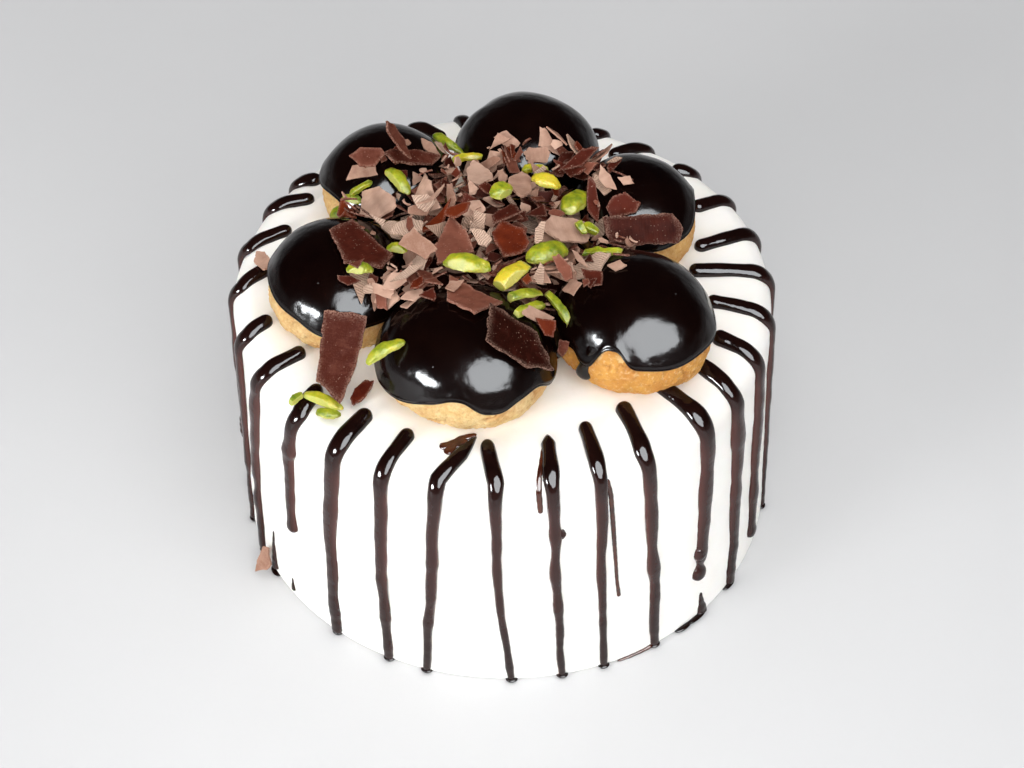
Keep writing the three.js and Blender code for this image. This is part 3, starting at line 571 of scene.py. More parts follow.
# Each bun: the place of its middle, its size along the ring, across it and upwards with its glaze, in mm, and
# the glaze's edge as a share of the height. Each drip lowers that edge, or raises it where that is negative,
# round an angle in degrees, by a share of the height, over a spread in degrees.
PROFITEROLES = {
    "front": (
        (-13.5, -45),
        (55, 49, 31),
        0.5,
        [(-76, 0.09, 14), (-97, -0.05, 12), (-152, 0.22, 30), (-15, 0.16, 18)],
    ),
    "right": ((39.5, -30.5), (49, 52, 32), 0.5, [(-129, 0.1, 8), (-111, -0.18, 12), (-162, 0.33, 11)]),
    "back_right": ((41.8, 20.2), (43, 42, 30), 0.52, [(-5, -0.14, 27), (95, 0.12, 22)]),
    "back": ((7, 50.4), (47, 45, 31), 0.45, [(70, 0.13, 17), (150, -0.12, 22)]),
    "back_left": ((-40, 36), (44, 43, 30), 0.52, [(-145, -0.09, 27), (120, 0.14, 20)]),
    "left": ((-54.5, -11.5), (49, 45, 29), 0.5, [(-170, -0.1, 38), (-98, 0.06, 20), (100, 0.1, 20)]),
}


def bun_profile(rise):
    """The choux's radius as a share of its widest, at a share of its height: a quarter oval below the waist,
    down to a narrower foot, and a quarter oval above it, up to the top."""
    under = np.clip((BUN_WAIST - rise) / BUN_WAIST, 0, 1)
    over = np.clip((rise - BUN_WAIST) / (1 - BUN_WAIST), 0, 1)
    below = BUN_FOOT + (1 - BUN_FOOT) * np.sqrt(1 - under**2)
    return np.where(rise < BUN_WAIST, below, np.sqrt(1 - over**2))


def bun_points(bun, angle, rise, added):
    """Places on a bun. In its own frame +X points away from the cake's middle, and its outline is an oval
    times the profile and slight lumps. Added thickness moves a point outwards, and upwards near the top."""
    (x, y), (wide, deep, tall), _, _ = bun
    lumps = 1 + 0.015 * np.sin(3 * angle + x) + 0.01 * np.sin(5 * angle + y)
    share = bun_profile(rise) * lumps
    slope = np.clip((rise - BUN_WAIST) / (1 - BUN_WAIST), 0, 1)
    outwards = added * np.sqrt(1 - slope**4)
    along = ((deep / 2 * MM - CHOUX_INSET) * share + outwards) * np.cos(angle)
    across = ((wide / 2 * MM - CHOUX_INSET) * share + outwards) * np.sin(angle)
    height = GAP + (tall * MM - GLAZE_THICKNESS - GAP) * rise + added * slope
    turn = np.arctan2(y, x)
    return np.stack(
        [
            x * MM + along * np.cos(turn) - across * np.sin(turn),
            y * MM + along * np.sin(turn) + across * np.cos(turn),
            CAKE_HEIGHT + height + 0 * along,
        ],
        -1,
    )


def outward_from(rings):
    """The direction square to a grid of rings at each point: the cross product of the step along the ring and
    the step to the next ring."""
    along = np.roll(rings, -1, 1) - np.roll(rings, 1, 1)
    normal = np.cross(along, np.gradient(rings, axis=0))
    return normal / np.maximum(np.linalg.norm(normal, axis=-1, keepdims=True), 1e-12)


def choux(bun, seed):
    """A bun's crust: the bun's surface, raised and sunk by broad and fine ripples. Where one ripple passes
    through nought, in the places that another picks, the crust has split into furrows and flakes, and the
    lows of the finest ripple are pits. The foot sinks a little into the cream. Returns the skin and, for each
    point, how deep in a furrow or pit it is, with a flake below 0."""
    angle = np.arange(CHOUX_SEGMENTS) * 2 * np.pi / CHOUX_SEGMENTS
    rise = (1 - np.cos(np.linspace(0, np.pi, CHOUX_LEVELS + 1)[:-1]))[:, None] / 2
    rings = bun_points(bun, angle, rise, 0 * MM)
    wandering = ripple(rings, 10 * MM, seed + 2) + 0.3 * ripple(rings, 2.2 * MM, seed + 4)
    where_split = np.clip(2 * ripple(rings, 15 * MM, seed + 3) + 0.1, 0, 1)
    split = np.exp(-((wandering / 0.11) ** 2)) * where_split
    flaking = np.clip(ripple(rings, 2.6 * MM, seed + 5) - 0.3, 0, 1) * where_split
    grain = ripple(rings, 1.5 * MM, seed + 6)
    pits = np.clip(-grain - 0.9, 0, 1)
    relief = BROAD_LUMPS * ripple(rings, 9 * MM, seed) + SMALL_LUMPS * ripple(rings, 2.8 * MM, seed + 1)
    relief = relief + CRUST_GRAIN * grain
    relief += FLAKE_RISE * flaking - SPLIT_DEPTH * split - PIT_DEPTH * pits
    rings = rings + outward_from(rings) * (np.clip(relief, -1.0, 0.4) * MM)[..., None]
    split = np.clip(split + 0.8 * pits - 0.5 * flaking, -0.5, 1)
    sunk = rings[:1] - [0, 0, CHOUX_SUNK]
    middle = rings[0].mean(0) - [0, 0, CHOUX_SUNK]
    points, faces = skin(middle, np.concatenate([sunk, rings]), bun_points(bun, 0.0, np.float64(1), 0 * MM))
    return points, faces, np.concatenate([np.zeros(CHOUX_SEGMENTS + 1), split.ravel(), [0]])


# How brown each bun baked, from 0, pale gold, to 1.
BAKED = [0.1, 0.95, 0.7, 0.5, 0.45, 0.35]

# What shows in the crust, from browned patches through mottling and pale flecks to freckles: the size in mm,
# detail and roughness of its noise, the values between which it sets in, its share and its colour.
CRUST_TINTS = [
    (11, 5.0, 0.55, 0.52, 0.7, 0.55, (206, 136, 58)),
    (1.6, 5.0, 0.7, 0.42, 0.64, 0.42, (204, 132, 50)),
    (1.3, 4.0, 0.7, 0.46, 0.34, 0.35, (250, 226, 176)),
    (0.6, 3.0, 0.7, 0.6, 0.74, 0.6, (164, 92, 32)),
]

crust_finish, tree, shader = new_material(
    "choux crust", Roughness=0.6, Subsurface_Weight=0.08, Subsurface_Scale=1.5 * MM, Specular_IOR_Level=0.2
)
here = object_place(tree)
pale_bake = add_clouds(tree, colour(244, 220, 164), colour(234, 200, 132), 9 * MM, 0.35)["Color"]
brown_bake = add_clouds(tree, colour(224, 162, 64), colour(200, 130, 42), 9 * MM, 0.35)["Color"]
baked = mixed(tree, point_value(tree, "bake"), pale_bake, brown_bake)
for size, detail, roughness, low, high, share, tint in CRUST_TINTS:
    shown = spread(tree, noise(tree, here, size * MM, detail, roughness), low, high)
    baked = tinted(tree, baked, colour(*tint), shown, share)
# The crust is painted darker in its furrows and pits, a painted shade in the recesses, and paler on the
# flakes that stand up.
split_depth = point_value(tree, "split")
baked = tinted(tree, baked, colour(176, 104, 38), split_depth, 0.6)
baked = tinted(tree, baked, colour(248, 218, 160), split_depth, -1.1)
tree.links.new(baked, shader["Base Color"])
raise_relief(tree, shader, noise(tree, here, 0.9 * MM, 6.0, 0.7), 0.8 * MM)

for number, (name, bun) in enumerate(PROFITEROLES.items()):
    points, faces, split = choux(bun, 40 + 10 * number)
    add_piece(
        f"crust_{name}",
        (points, faces),
        crust_finish,
        "choux",
        [f"choux_{name}"],
        bake=np.full(len(points), BAKED[number]),
        split=split,
    )

# ---------------------------------------------------------------- the glaze on the buns
# Each bun was dipped upside down in warm chocolate glaze, which set as a mirror-smooth shell with a rounded
# lip. It ran further down in places, in drips, and pulled back in others.

GLAZE_SEGMENTS = 320
LIP_RADIUS = 0.85 * MM
GLAZE_INNER = 0.2 * MM
EDGE_SWELL = 0.28 * MM
FLOW_DEPTH = 0.22 * MM
BUBBLE_DEPTH = 0.16 * MM

glossy_finish, tree, shader = new_material("mirror glaze", Roughness=0.14, IOR=1.34)
GLAZE_DARK = colour(6, 1, 1)
GLAZE_BROWN = colour(16, 5, 3)
tree.links.new(add_clouds(tree, GLAZE_BROWN, GLAZE_DARK, 14 * MM, 0.5)["Color"], shader["Base Color"])
# Scattered tiny bubbles and faint swells keep the shell from being a perfect mirror.
bubbles = add_node(tree, "ShaderNodeTexVoronoi", {"Vector": object_place(tree), "Scale": 1 / (2.6 * MM)})
bubble_height = spread(tree, bubbles.outputs["Distance"], 0.12, 0.03)
bubble_draw = add_node(tree, "ShaderNodeSeparateColor", {0: bubbles.outputs["Color"]}).outputs[0]
swell = figure(tree, "MULTIPLY", noise(tree, object_place(tree), 8 * MM, 2.0), 2.2)
raised = figure(tree, "MULTIPLY_ADD", bubble_height, spread(tree, bubble_draw, 0.93, 0.94), swell)
peppered = figure(tree, "MULTIPLY_ADD", noise(tree, object_place(tree), 0.55 * MM, 2.0), 0.13, raised)
raise_relief(tree, shader, peppered, BUBBLE_DEPTH)


def glaze_edge(bun, angle):
    """Where the glaze ends, as a share of the bun's height: an even edge with a ripple of seven waves, less a
    bell-shaped step for each drip."""
    (x, y), _, edge, drips = bun
    turn = np.arctan2(y, x)
    level = edge + 0.015 * np.sin(7 * angle + x)
    for at, lower, width in drips:
        off = (angle + turn - np.radians(at) + np.pi) % (2 * np.pi) - np.pi
        level = level - lower * np.exp(-np.abs(off / np.radians(width)) ** 3)
    return level


def glaze_shell(bun, seed):
    """A bun's glaze as one closed skin: up to the top inside, and from there down the outside. It leaves the
    inner wall at the edge, goes round a lip of a half circle and swells just above it, more so over a drip.
    Flow lines, ripples that are four times as long downwards as across, make it uneven lower down."""
    _, (_, _, tall), level, _ = bun
    angle = np.arange(GLAZE_SEGMENTS) * 2 * np.pi / GLAZE_SEGMENTS
    edge = glaze_edge(bun, angle)
    dripping = np.clip((level - edge) / 0.15, 0, 1)
    inner_share = np.sin(np.linspace(np.pi / 2, 0, 16))[1:, None]
    inside = bun_points(bun, angle, edge + (1 - edge) * inner_share, GLAZE_INNER)
    lip_turn = np.linspace(0, np.pi, 12)[1:-1, None]
    lip_added = GLAZE_INNER + LIP_RADIUS * (1 - np.cos(lip_turn)) + 0 * angle
    lip = bun_points(bun, angle, edge - LIP_RADIUS * np.sin(lip_turn) / (tall * MM), lip_added)
    share = np.linspace(0, 1, 68)[:-1, None] ** 1.15
    smooth_shell = bun_points(bun, angle, edge + (1 - edge) * share, GLAZE_THICKNESS + 0 * angle)
    flow = ripple(smooth_shell * [1, 1, 0.25], 11 * MM, seed)
    swelling = EDGE_SWELL * (1 + 1.5 * dripping) * np.exp(-((share / 0.14) ** 2))
    swelling *= 1 - np.exp(-share / 0.02)
    added = GLAZE_THICKNESS + swelling + FLOW_DEPTH * flow * (1 - share) * (1 - np.exp(-share / 0.05))
    outside = bun_points(bun, angle, edge + (1 - edge) * share, added)
    tip = bun_points(bun, 0.0, np.float64(1), GLAZE_THICKNESS)
    under_tip = bun_points(bun, 0.0, np.float64(1), GLAZE_INNER)
    return skin(under_tip, np.concatenate([inside, lip, outside]), tip)


# Long drips, which hang from the glaze down the crust: the bun, the angle of the tip, how much further round
# the drip starts in degrees, the share of the height where it starts and ends, and the width at its neck and
# its bulb in mm.
DRIPS = {"right": (-133.5, 8, 0.62, 0.1, 3.4, 5.8)}


def hanging_drip(bun, tip, sideways, top, low, neck, bulb):
    """A drip as a bead on the bun's surface. Its middle moves sideways with the square of what is left of its
    way. Its width grows from a neck to a bulb, and towards its root in the glaze, by a bell's shape each, and
    its section is half an oval."""
    (x, y), (wide, deep, _), _, _ = bun
    share = (1 - np.cos(np.linspace(0, np.pi, 46)))[:, None] / 2
    around = np.arange(24) * 2 * np.pi / 24
    width = neck + (bulb - neck) * np.exp(-(((share - 0.84) / 0.2) ** 2))
    width += 2.2 * np.exp(-((share / 0.16) ** 2))
    rounded = np.sqrt(np.clip(1 - (np.clip(share - 0.8, 0, 1) / 0.2) ** 2, 0.004, 1))
    half = width / 2 * rounded * MM
    middle = np.radians(tip + sideways * (1 - share) ** 2) - np.arctan2(y, x)
    angle = middle + half * np.cos(around) / ((wide + deep) / 4 * MM)
    thickness = 0.75 * half**0.7 * (2 * MM) ** 0.3
    added = 0.1 * MM + np.sin(around) * np.where(np.sin(around) > 0, thickness, 0.5 * MM * rounded)
    rings = bun_points(bun, angle, top + (low - top) * share, added)
    return skin(rings[0].mean(0), rings, rings[-1].mean(0))


glaze_shells = {}
for number, (name, bun) in enumerate(PROFITEROLES.items()):
    glaze_shells[name] = glaze_shell(bun, 140 + number)
    if name in DRIPS:
        glaze_shells[name] = join([glaze_shells[name], hanging_drip(bun, *DRIPS[name])])
    add_piece(f"shell_{name}", glaze_shells[name], glossy_finish, "glaze", [f"glaze_{name}"])

# ---------------------------------------------------------------- the chocolate shavings
# Broken shavings, scraped off a block with a knife: thin plates with ragged edges, some pale and dull from
# the scraping, some ribbed by the blade, some dark and dusty, and thin ones that let red light through.


def shaving_tints(name, pale, deep, dust, ribs, roughness):
    """The finish of one kind of shaving. Its tone slides between a deep and a pale colour from piece to
    piece, with faint scrape lines along it, paler dust in specks, and ribs across it for the ribbed kind,
    whose furrows are painted darker: a painted shade in the grooves."""
    material, tree, shader = new_material(name, Roughness=roughness, Specular_IOR_Level=0.015)
    inputs = {"Pale": pale, "Deep": deep, "Dust": dust, "Ribs": ribs}
    made = add_node(tree, "ShaderNodeGroup", inputs, node_tree=scraped)
    tree.links.new(made.outputs["Color"], shader["Base Color"])
    raise_relief(tree, shader, made.outputs["Height"], 0.35 * MM)
    return material


DUST = colour(206, 166, 146)
# A painted shade for the furrows between the ribs.
PAINTED_RIB_SHADE = colour(110, 76, 62)
RIB_SPACING = 0.78 * MM
scraped, given, out = new_group(
    "Scraped chocolate",
    {"Pale": (1.0, 1.0, 1.0, 1.0), "Deep": (0.0, 0.0, 0.0, 1.0), "Dust": 0.5, "Ribs": 0.0},
    {"Color": "NodeSocketColor", "Height": "NodeSocketFloat"},
)
tone, along, across, rim = (point_value(scraped, label) for label in ("tone", "along", "across", "rim"))
here = object_place(scraped)
long_across = figure(scraped, "MULTIPLY", across, 0.12)
grain_place = add_node(scraped, "ShaderNodeCombineXYZ", {0: along, 1: long_across, 2: tone}).outputs[0]
scrape = noise(scraped, grain_place, 0.7 * MM, 3.0)
blotch = noise(scraped, here, 3.5 * MM, 4.0)
wander = figure(scraped, "MULTIPLY", noise(scraped, here, 3 * MM, 2.0), 13.0)
rib_phase = figure(scraped, "MULTIPLY_ADD", along, 2 * np.pi / RIB_SPACING, wander)
rib_wave = figure(scraped, "MULTIPLY_ADD", figure(scraped, "SINE", rib_phase), 0.5, 0.5)
furrow = figure(scraped, "MULTIPLY", figure(scraped, "POWER", rib_wave, 2.5), given["Ribs"])
level = figure(scraped, "MULTIPLY_ADD", scrape, 0.4, figure(scraped, "MULTIPLY", blotch, 1.1))
shifted = figure(scraped, "ADD", tone, figure(scraped, "SUBTRACT", level, 0.75), clamp=True)
# The ribs' furrows are painted darker towards a brown: a painted shade in the grooves.
shaded = tinted(scraped, mixed(scraped, shifted, given["Deep"], given["Pale"]), PAINTED_RIB_SHADE, furrow, 0.3)
frayed = figure(scraped, "MULTIPLY", rim, spread(scraped, noise(scraped, here, 0.5 * MM), 0.4, 0.62))
shaded = tinted(scraped, shaded, DUST, frayed, 0.42)
grain = spread(scraped, noise(scraped, here, 0.45 * MM, 3.0, 0.7), 0.5, 0.78)
shaded = tinted(scraped, shaded, given["Pale"], grain, 0.3)
specks = add_node(scraped, "ShaderNodeTexVoronoi", {"Vector": here, "Scale": 1 / (0.9 * MM)})
speck = spread(scraped, specks.outputs["Distance"], 0.24, 0.1)
dusty = figure(scraped, "MULTIPLY", spread(scraped, noise(scraped, here, 2.2 * MM), 0.5, 0.64), given["Dust"])
scraped.links.new(tinted(scraped, shaded, DUST, speck, dusty), out["Color"])
lowered = figure(scraped, "MULTIPLY", furrow, -0.6)
scraped.links.new(figure(scraped, "MULTIPLY_ADD", scrape, 0.35, lowered), out["Height"])

# Each finish: its pale and deep colour, how dusty and how ribbed it is, and its roughness.
SHAVING_FINISHES = {
    "pale": shaving_tints("pale shavings", colour(202, 166, 146), colour(148, 110, 92), 0.1, 0.0, 0.65),
    "ribbed": shaving_tints("ribbed shavings", colour(214, 184, 164), colour(176, 144, 124), 0.0, 1.0, 0.65),
    "mid": shaving_tints("brown shavings", colour(126, 76, 61), colour(68, 29, 20), 0.35, 0.0, 0.55),
    "dark": shaving_tints("dark shavings", colour(84, 36, 26), colour(36, 11, 6), 0.6, 0.0, 0.5),
    "red": shaving_tints("red shavings", colour(118, 48, 24), colour(72, 24, 13), 0.25, 0.0, 0.45),
}
KINDS = list(SHAVING_FINISHES)
SLOTS = {kind: "milk_chocolate" if kind in ("pale", "ribbed") else "dark_chocolate" for kind in KINDS}

# The nineteen large shavings: the kind of each, and its tone from 0, deep, to 1, pale. Their shapes come from
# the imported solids.
LARGE_SHAVINGS = {
    "leaning": ("mid", 0.0),
    "front_leaf": ("dark", 0.0),
    "right_slab": ("dark", 0.45),
    "left_slab": ("dark", 0.6),
    "front_slab": ("mid", 0.85),
    "middle_slab": ("mid", 0.8),
    "back_left_red": ("mid", 0.1),
    "upright": ("mid", 0.35),
    "pale_far": ("pale", 0.9),
    "pale_near_middle": ("pale", 0.3),
    "red_middle": ("red", 0.35),
    "ribbed_right": ("pale", 0.6),
    "right_point": ("dark", 1.0),
    "left_pale": ("pale", 0.8),
    "left_ribbed": ("ribbed", 0.6),
    "far_tip": ("pale", 0.4),
    "on_cream_red": ("red", 0.05),
    "on_cream_pale": ("pale", 0.5),
    "at_foot": ("pale", 0.15),
}
PLATE_THICKNESS = 0.85 * MM
PLATE_OUTLINE = 190
PLATE_BEND = 0.14 * MM
UNCHIPPED = 0.96
PLATE_RINGS = np.array([0.08, 0.2, 0.34, 0.48, 0.62, 0.75, 0.86, 0.94])


def node_points(name):
    """The different corners of a CAD node, in metres."""
    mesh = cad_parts[name].data
    flat = np.empty(3 * len(mesh.vertices), np.float32)
    mesh.vertices.foreach_get("co", flat)
    return np.unique(np.round(flat.reshape(-1, 3).astype(float), 6), axis=0)


def own_axes(points):
    """The middle of some points and their three main directions, longest first, the last one upwards."""
    middle = points.mean(0)
    axes = np.linalg.svd(points - middle, full_matrices=False)[2]
    axes[2] *= np.sign(axes[2, 2]) or 1
    axes[1] = np.cross(axes[2], axes[0])
    return middle, axes


def ragged(outline, square, dice):
    """An edge broken a little unevenly: the outline moved along its own square direction by slow and quick
    ripples, with a few bites of a bell's shape, and fine crumbling."""
    count = len(outline)
    step = np.arange(count)
    moved = 0.22 * ripple(outline, 7 * MM, dice.integers(1000)) + 0.08 * dice.uniform(-1, 1, count)
    for bite in dice.integers(0, count, 5):
        off = (step - bite + count // 2) % count - count // 2
        moved -= dice.uniform(0.2, 0.7) * np.exp(-((off / dice.uniform(1.2, 3)) ** 2))
    return outline + square * (moved * MM)[:, None]


def large_shaving(node, seed):
    """A shaving over its solid: the solid's corners but for the two nearest its middle, in order round it,
    are joined by straight edges and chipped. The plate is bent as its corners are, by a least-squares fit of
    a height that goes with the square of the length, and rippled. Returns the skin, and for each point its
    place along and across the plate and how near the edge it is."""
    dice = np.random.default_rng(seed)
    points = node_points(node)
    middle, axes = own_axes(points)
    local = (points - middle) @ axes.T
    nearest = np.argsort(np.linalg.norm(local[:, :2], axis=1))
    rim = local[nearest[2:]]
    rim = rim[np.argsort(np.arctan2(rim[:, 1], rim[:, 0]))]
    corners = rim.reshape(-1, 2, 3).mean(1)[:, :2]

    fit = np.stack([np.ones(len(local)), local[:, 0], local[:, 1], local[:, 0] ** 2], 1)
    bend = np.linalg.lstsq(fit, local[:, 2], rcond=None)[0]

    closed = np.vstack([corners, corners[:1]])
    walked = np.concatenate([[0], np.cumsum(np.linalg.norm(np.diff(closed, axis=0), axis=1))])
    steps = np.linspace(0, walked[-1], PLATE_OUTLINE, endpoint=False)
    outline = np.stack([np.interp(steps, walked, closed[:, axis]) for axis in (0, 1)], -1)
    tangent = np.roll(outline, -1, 0) - np.roll(outline, 1, 0)
    tangent /= np.linalg.norm(tangent, axis=1, keepdims=True)
    square = np.stack([tangent[:, 1], -tangent[:, 0]], -1)
    chipped = ragged(outline, square, dice)

    shares = np.concatenate([PLATE_RINGS, [1.0]])[:, None, None]
    flat = outline * np.minimum(shares, UNCHIPPED) + (chipped - outline * UNCHIPPED) * (shares > 0.99)

    def lifted(plan, side):
        height = bend[0] + bend[1] * plan[..., 0] + bend[2] * plan[..., 1] + bend[3] * plan[..., 0] ** 2
        height = height + PLATE_BEND * ripple(plan, 5 * MM, seed)
        return np.concatenate([plan, (height + side * PLATE_THICKNESS / 2)[..., None]], -1)

    below = lifted(flat, -1)
    above = lifted(flat, 1)[::-1]
    hub = np.zeros(2)
    rings = np.concatenate([below, above])
    points, faces = skin(lifted(hub, -1), rings, lifted(hub, 1))
    near_rim = np.clip((np.concatenate([shares, shares[::-1]]).ravel() - 0.8) / 0.2, 0, 1) ** 1.5
    rim = np.concatenate([[0], np.repeat(near_rim, PLATE_OUTLINE), [0]])
    return points @ axes + middle, faces, {"along": points[:, 0], "across": points[:, 1], "rim": rim}


for number, (name, (kind, tone_value)) in enumerate(LARGE_SHAVINGS.items()):
    points, faces, values = large_shaving(f"shaving_{name}", 300 + number)
    add_piece(
        f"flake_{name}",
        (points, faces),
        SHAVING_FINISHES[kind],
        SLOTS[kind],
        [f"shaving_{name}"],
        crease=50,
        tone=np.full(len(points), tone_value),
        **values,
    )

# ---------------------------------------------------------------- the pistachios
# Twenty-five pieces of green pistachio: split kernels with a blunt and a pointed end, and slivers. They are
# greener outside, yellower inside, and pale along the cut edges.

KERNEL_DROOP = 0.08
KERNEL_FLATNESS = 0.72
SLIVER_WIDTH = 3.7 * MM
KERNEL_LUMPS = 0.17
KERNEL_WRINKLES = 0.08
END_CUT_ODDS = 0.75
SIDE_CUT_ODDS = 0.65

# How yellow each kernel is, from 0, green, to 1.
YELLOWNESS = [0.45, 0.35, 0.9, 0.45, 0.4, 0.95, 0.6, 0.3, 0.35, 0.35, 0.3, 0.3, 0.3]
YELLOWNESS += [0.3, 0.4, 0.55, 0.3, 0.3, 0.35, 0.3, 0.25, 0.35, 0.25, 0.2, 0.8]

kernel_finish, tree, shader = new_material("pistachio kernel", Roughness=0.4, Specular_IOR_Level=0.3)
shader["Subsurface Weight"].default_value = 0.2
shader["Subsurface Scale"].default_value = 1.2 * MM
here = object_place(tree)
cloudy = add_clouds(tree, (1, 1, 1, 1), (0, 0, 0, 1), 3.2 * MM, 0.35)["Mask"]
uneven = figure(tree, "MULTIPLY_ADD", cloudy, 0.5, -0.25)
ripeness = figure(tree, "ADD", point_value(tree, "yellowness"), uneven)
flesh = add_node(tree, "ShaderNodeValToRGB", {0: ripeness})
stops = flesh.color_ramp.elements
stops[0].position, stops[0].color = 0.05, colour(92, 116, 12)
stops[1].position, stops[1].color = 0.95, colour(214, 192, 46)
middle_stop = stops.new(0.45)
middle_stop.color = colour(164, 168, 32)
veins = spread(tree, noise(tree, here, 1.1 * MM, 4.0, 0.6), 0.6, 0.74)
veined = tinted(tree, flesh.outputs[0], colour(92, 116, 24), veins, 0.2)
edged = tinted(tree, veined, colour(198, 198, 104), point_value(tree, "cut"), 0.6)
skin_left = spread(tree, noise(tree, here, 3.4 * MM, 3.0), 0.7, 0.76)
skinned = tinted(tree, edged, colour(120, 44, 40), skin_left, 0.8)
tree.links.new(skinned, shader["Base Color"])
raise_relief(tree, shader, noise(tree, here, 0.8 * MM, 5.0, 0.6), 0.25 * MM)


def chops(dice):
    """The planes that a knife cut a kernel along: the way each faces, and its distance from the middle as a
    share of the kernel's reach that way. Most cut an end off, and some shave a side."""
    for end in (-1, 1):
        if dice.random() < END_CUT_ODDS:
            yield np.array([end, dice.uniform(-0.7, 0.7), dice.uniform(-0.3, 0.7)]), dice.uniform(0.62, 0.84)
    if dice.random() < SIDE_CUT_ODDS:
        facing = np.array([dice.uniform(-0.3, 0.3), dice.choice([-1, 1]), dice.uniform(0, 0.8)])
        yield facing, dice.uniform(0.5, 0.7)


def kernel(node, seed):
    """A kernel over its solid: rings along its length that swell with a sine and droop at the ends. A split
    kernel's section is an oval cut flat on one side, and a sliver's is a rounded box. Ripples make it lumpy,
    and what lies beyond a knife cut is pressed onto its plane. Returns the skin, and for each point how
    close it is to a cut."""
    points = node_points(node)
    middle, axes = own_axes(points)
    reach = np.abs((points - middle) @ axes.T).max(0)
    length, width = 2 * reach[0], 2 * reach[1]
    sliver = width < SLIVER_WIDTH
    share = (1 - np.cos(np.linspace(0.14, np.pi - 0.14, 40))) / 2
    around = np.arange(36) * 2 * np.pi / 36
    swell = np.sin(np.pi * share**0.85)[:, None] ** (0.3 if sliver else 0.44)
    power = 0.35 if sliver else 0.8
    side = np.sign(np.cos(around)) * np.abs(np.cos(around)) ** power
    rise = np.sign(np.sin(around)) * np.abs(np.sin(around)) ** power
    if not sliver:
        rise = np.where(rise < 0, 0.55 * rise, 1.12 * rise)
    flatness = KERNEL_FLATNESS if sliver else 0.95 * KERNEL_FLATNESS
    droop = KERNEL_DROOP * length * (2 * share[:, None] - 1) ** 2 - 0.35 * KERNEL_DROOP * length
    bow = 0.04 * length * np.sin(np.pi * share[:, None]) * np.sin(seed)
    plain = np.stack(
        [
            (share[:, None] - 0.5) * length + 0 * around,
            width / 2 * swell * side + bow,
            flatness * width / 2 * swell * rise - droop,
        ],
        -1,
    )
    lumpy = KERNEL_LUMPS * ripple(plain, 4 * MM, seed) + KERNEL_WRINKLES * ripple(plain, 1.4 * MM, seed + 1)
    rings = plain + outward_from(plain) * (lumpy * MM)[..., None]
    ends = [rings[index].mean(0) + [sign * 0.15 * MM, 0, 0] for index, sign in ((0, -1), (-1, 1))]
    points, faces = skin(ends[0], rings, ends[1])
    edge = np.exp(-(((np.abs(np.cos(around)) - 0.97) / 0.1) ** 2)) * (np.sin(around) < 0.25)
    if sliver:
        edge = np.exp(-((np.cos(2 * around) / 0.35) ** 2))
    near_cut = np.concatenate([[1], np.tile(edge, len(share)), [1]])
    for facing, reach in chops(np.random.default_rng(seed)):
        facing = facing / np.linalg.norm(facing)
        beyond = points @ facing - reach * (np.abs(facing) @ [length / 2, width / 2, flatness * width / 2])
        points = points - np.maximum(beyond, 0)[:, None] * facing
        near_cut = np.where(beyond > -0.12 * MM, 1.0, near_cut)
    return points @ axes + middle, faces, near_cut


for number, yellowness in enumerate(YELLOWNESS):
    node = f"pistachio_{number + 1:02d}"
    points, faces, near_cut = kernel(node, 500 + 3 * number)
    add_piece(
        f"kernel_{number + 1:02d}",
        (points, faces),
        kernel_finish,
        "pistachio",
        [node],
        crease=40,
        yellowness=np.full(len(points), yellowness),
        cut=near_cut,
    )

# ---------------------------------------------------------------- the heap of shavings
# Several hundred small shavings, dropped between the buns and over their inner shoulders: they lie on one
# another at all angles, on a low core that stands for those nobody sees.

HEAP_X = -6 * MM
CORE_HEIGHT = 17 * MM
CORE_RADIUS = 41 * MM
CELL = 1.0 * MM
FIELD = 66 * MM
FIELD_CELLS = int(2 * FIELD / CELL)
FLAKE_SIDES = 14
LARGE_TRIED = 900
SMALL_TRIED = 700
FLAKE_THICKNESS = 0.55 * MM
CLEAR_BELOW = 0.5 * MM
HEAP_TOP = CAKE_HEIGHT + 33 * MM
CRUMBS_TOP = CAKE_HEIGHT + 31 * MM
STEEPEST_DROPPED = 0.8
STEEPEST_PLACED = 0.35
KIND_SHARES = [0.36, 0.13, 0.26, 0.16, 0.09]
STRONG_CURL = 0.5
CURLED_ODDS = 0.12
LAID_DOWN = 0.2
STOOD_UP = 0.7
STOOD_UP_ODDS = 0.12


def cells_at(plan):
    """The cells of the height field below some places."""
    return tuple(np.clip(((plan + FIELD) / CELL).astype(int), 0, FIELD_CELLS - 1).T)


def spread_over(node, steps=30):
    """Places all over a CAD node: even steps between the corners of each of its triangles."""
    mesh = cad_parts[node].data
    mesh.calc_loop_triangles()
    corners = np.empty(3 * len(mesh.loop_triangles), np.int32)
    mesh.loop_triangles.foreach_get("vertices", corners)
    flat = np.empty(3 * len(mesh.vertices), np.float32)
    mesh.vertices.foreach_get("co", flat)
    triangles = flat.reshape(-1, 3)[corners.reshape(-1, 3)].astype(float)
    one, other = np.meshgrid(np.arange(steps + 1), np.arange(steps + 1))
    weights = np.stack([one, other, steps - one - other], -1).reshape(-1, 3) / steps
    weights = weights[weights[:, 2] >= 0]
    return np.einsum("wc,tcd->twd", weights, triangles).reshape(-1, 3)


def heap_edge(angle):
    """How far the heap reaches at an angle round its middle: an oval, less where the buns are broadest."""
    return (45 + 5 * np.cos(2 * angle) - 3 * np.cos(4 * angle)) * MM


def core_height(radius):
    """The core's height: flat in the middle, and falling with a power of the radius to nought at its edge."""
    return CORE_HEIGHT * (1 - np.clip(radius / CORE_RADIUS, 0, 1) ** 3.2)


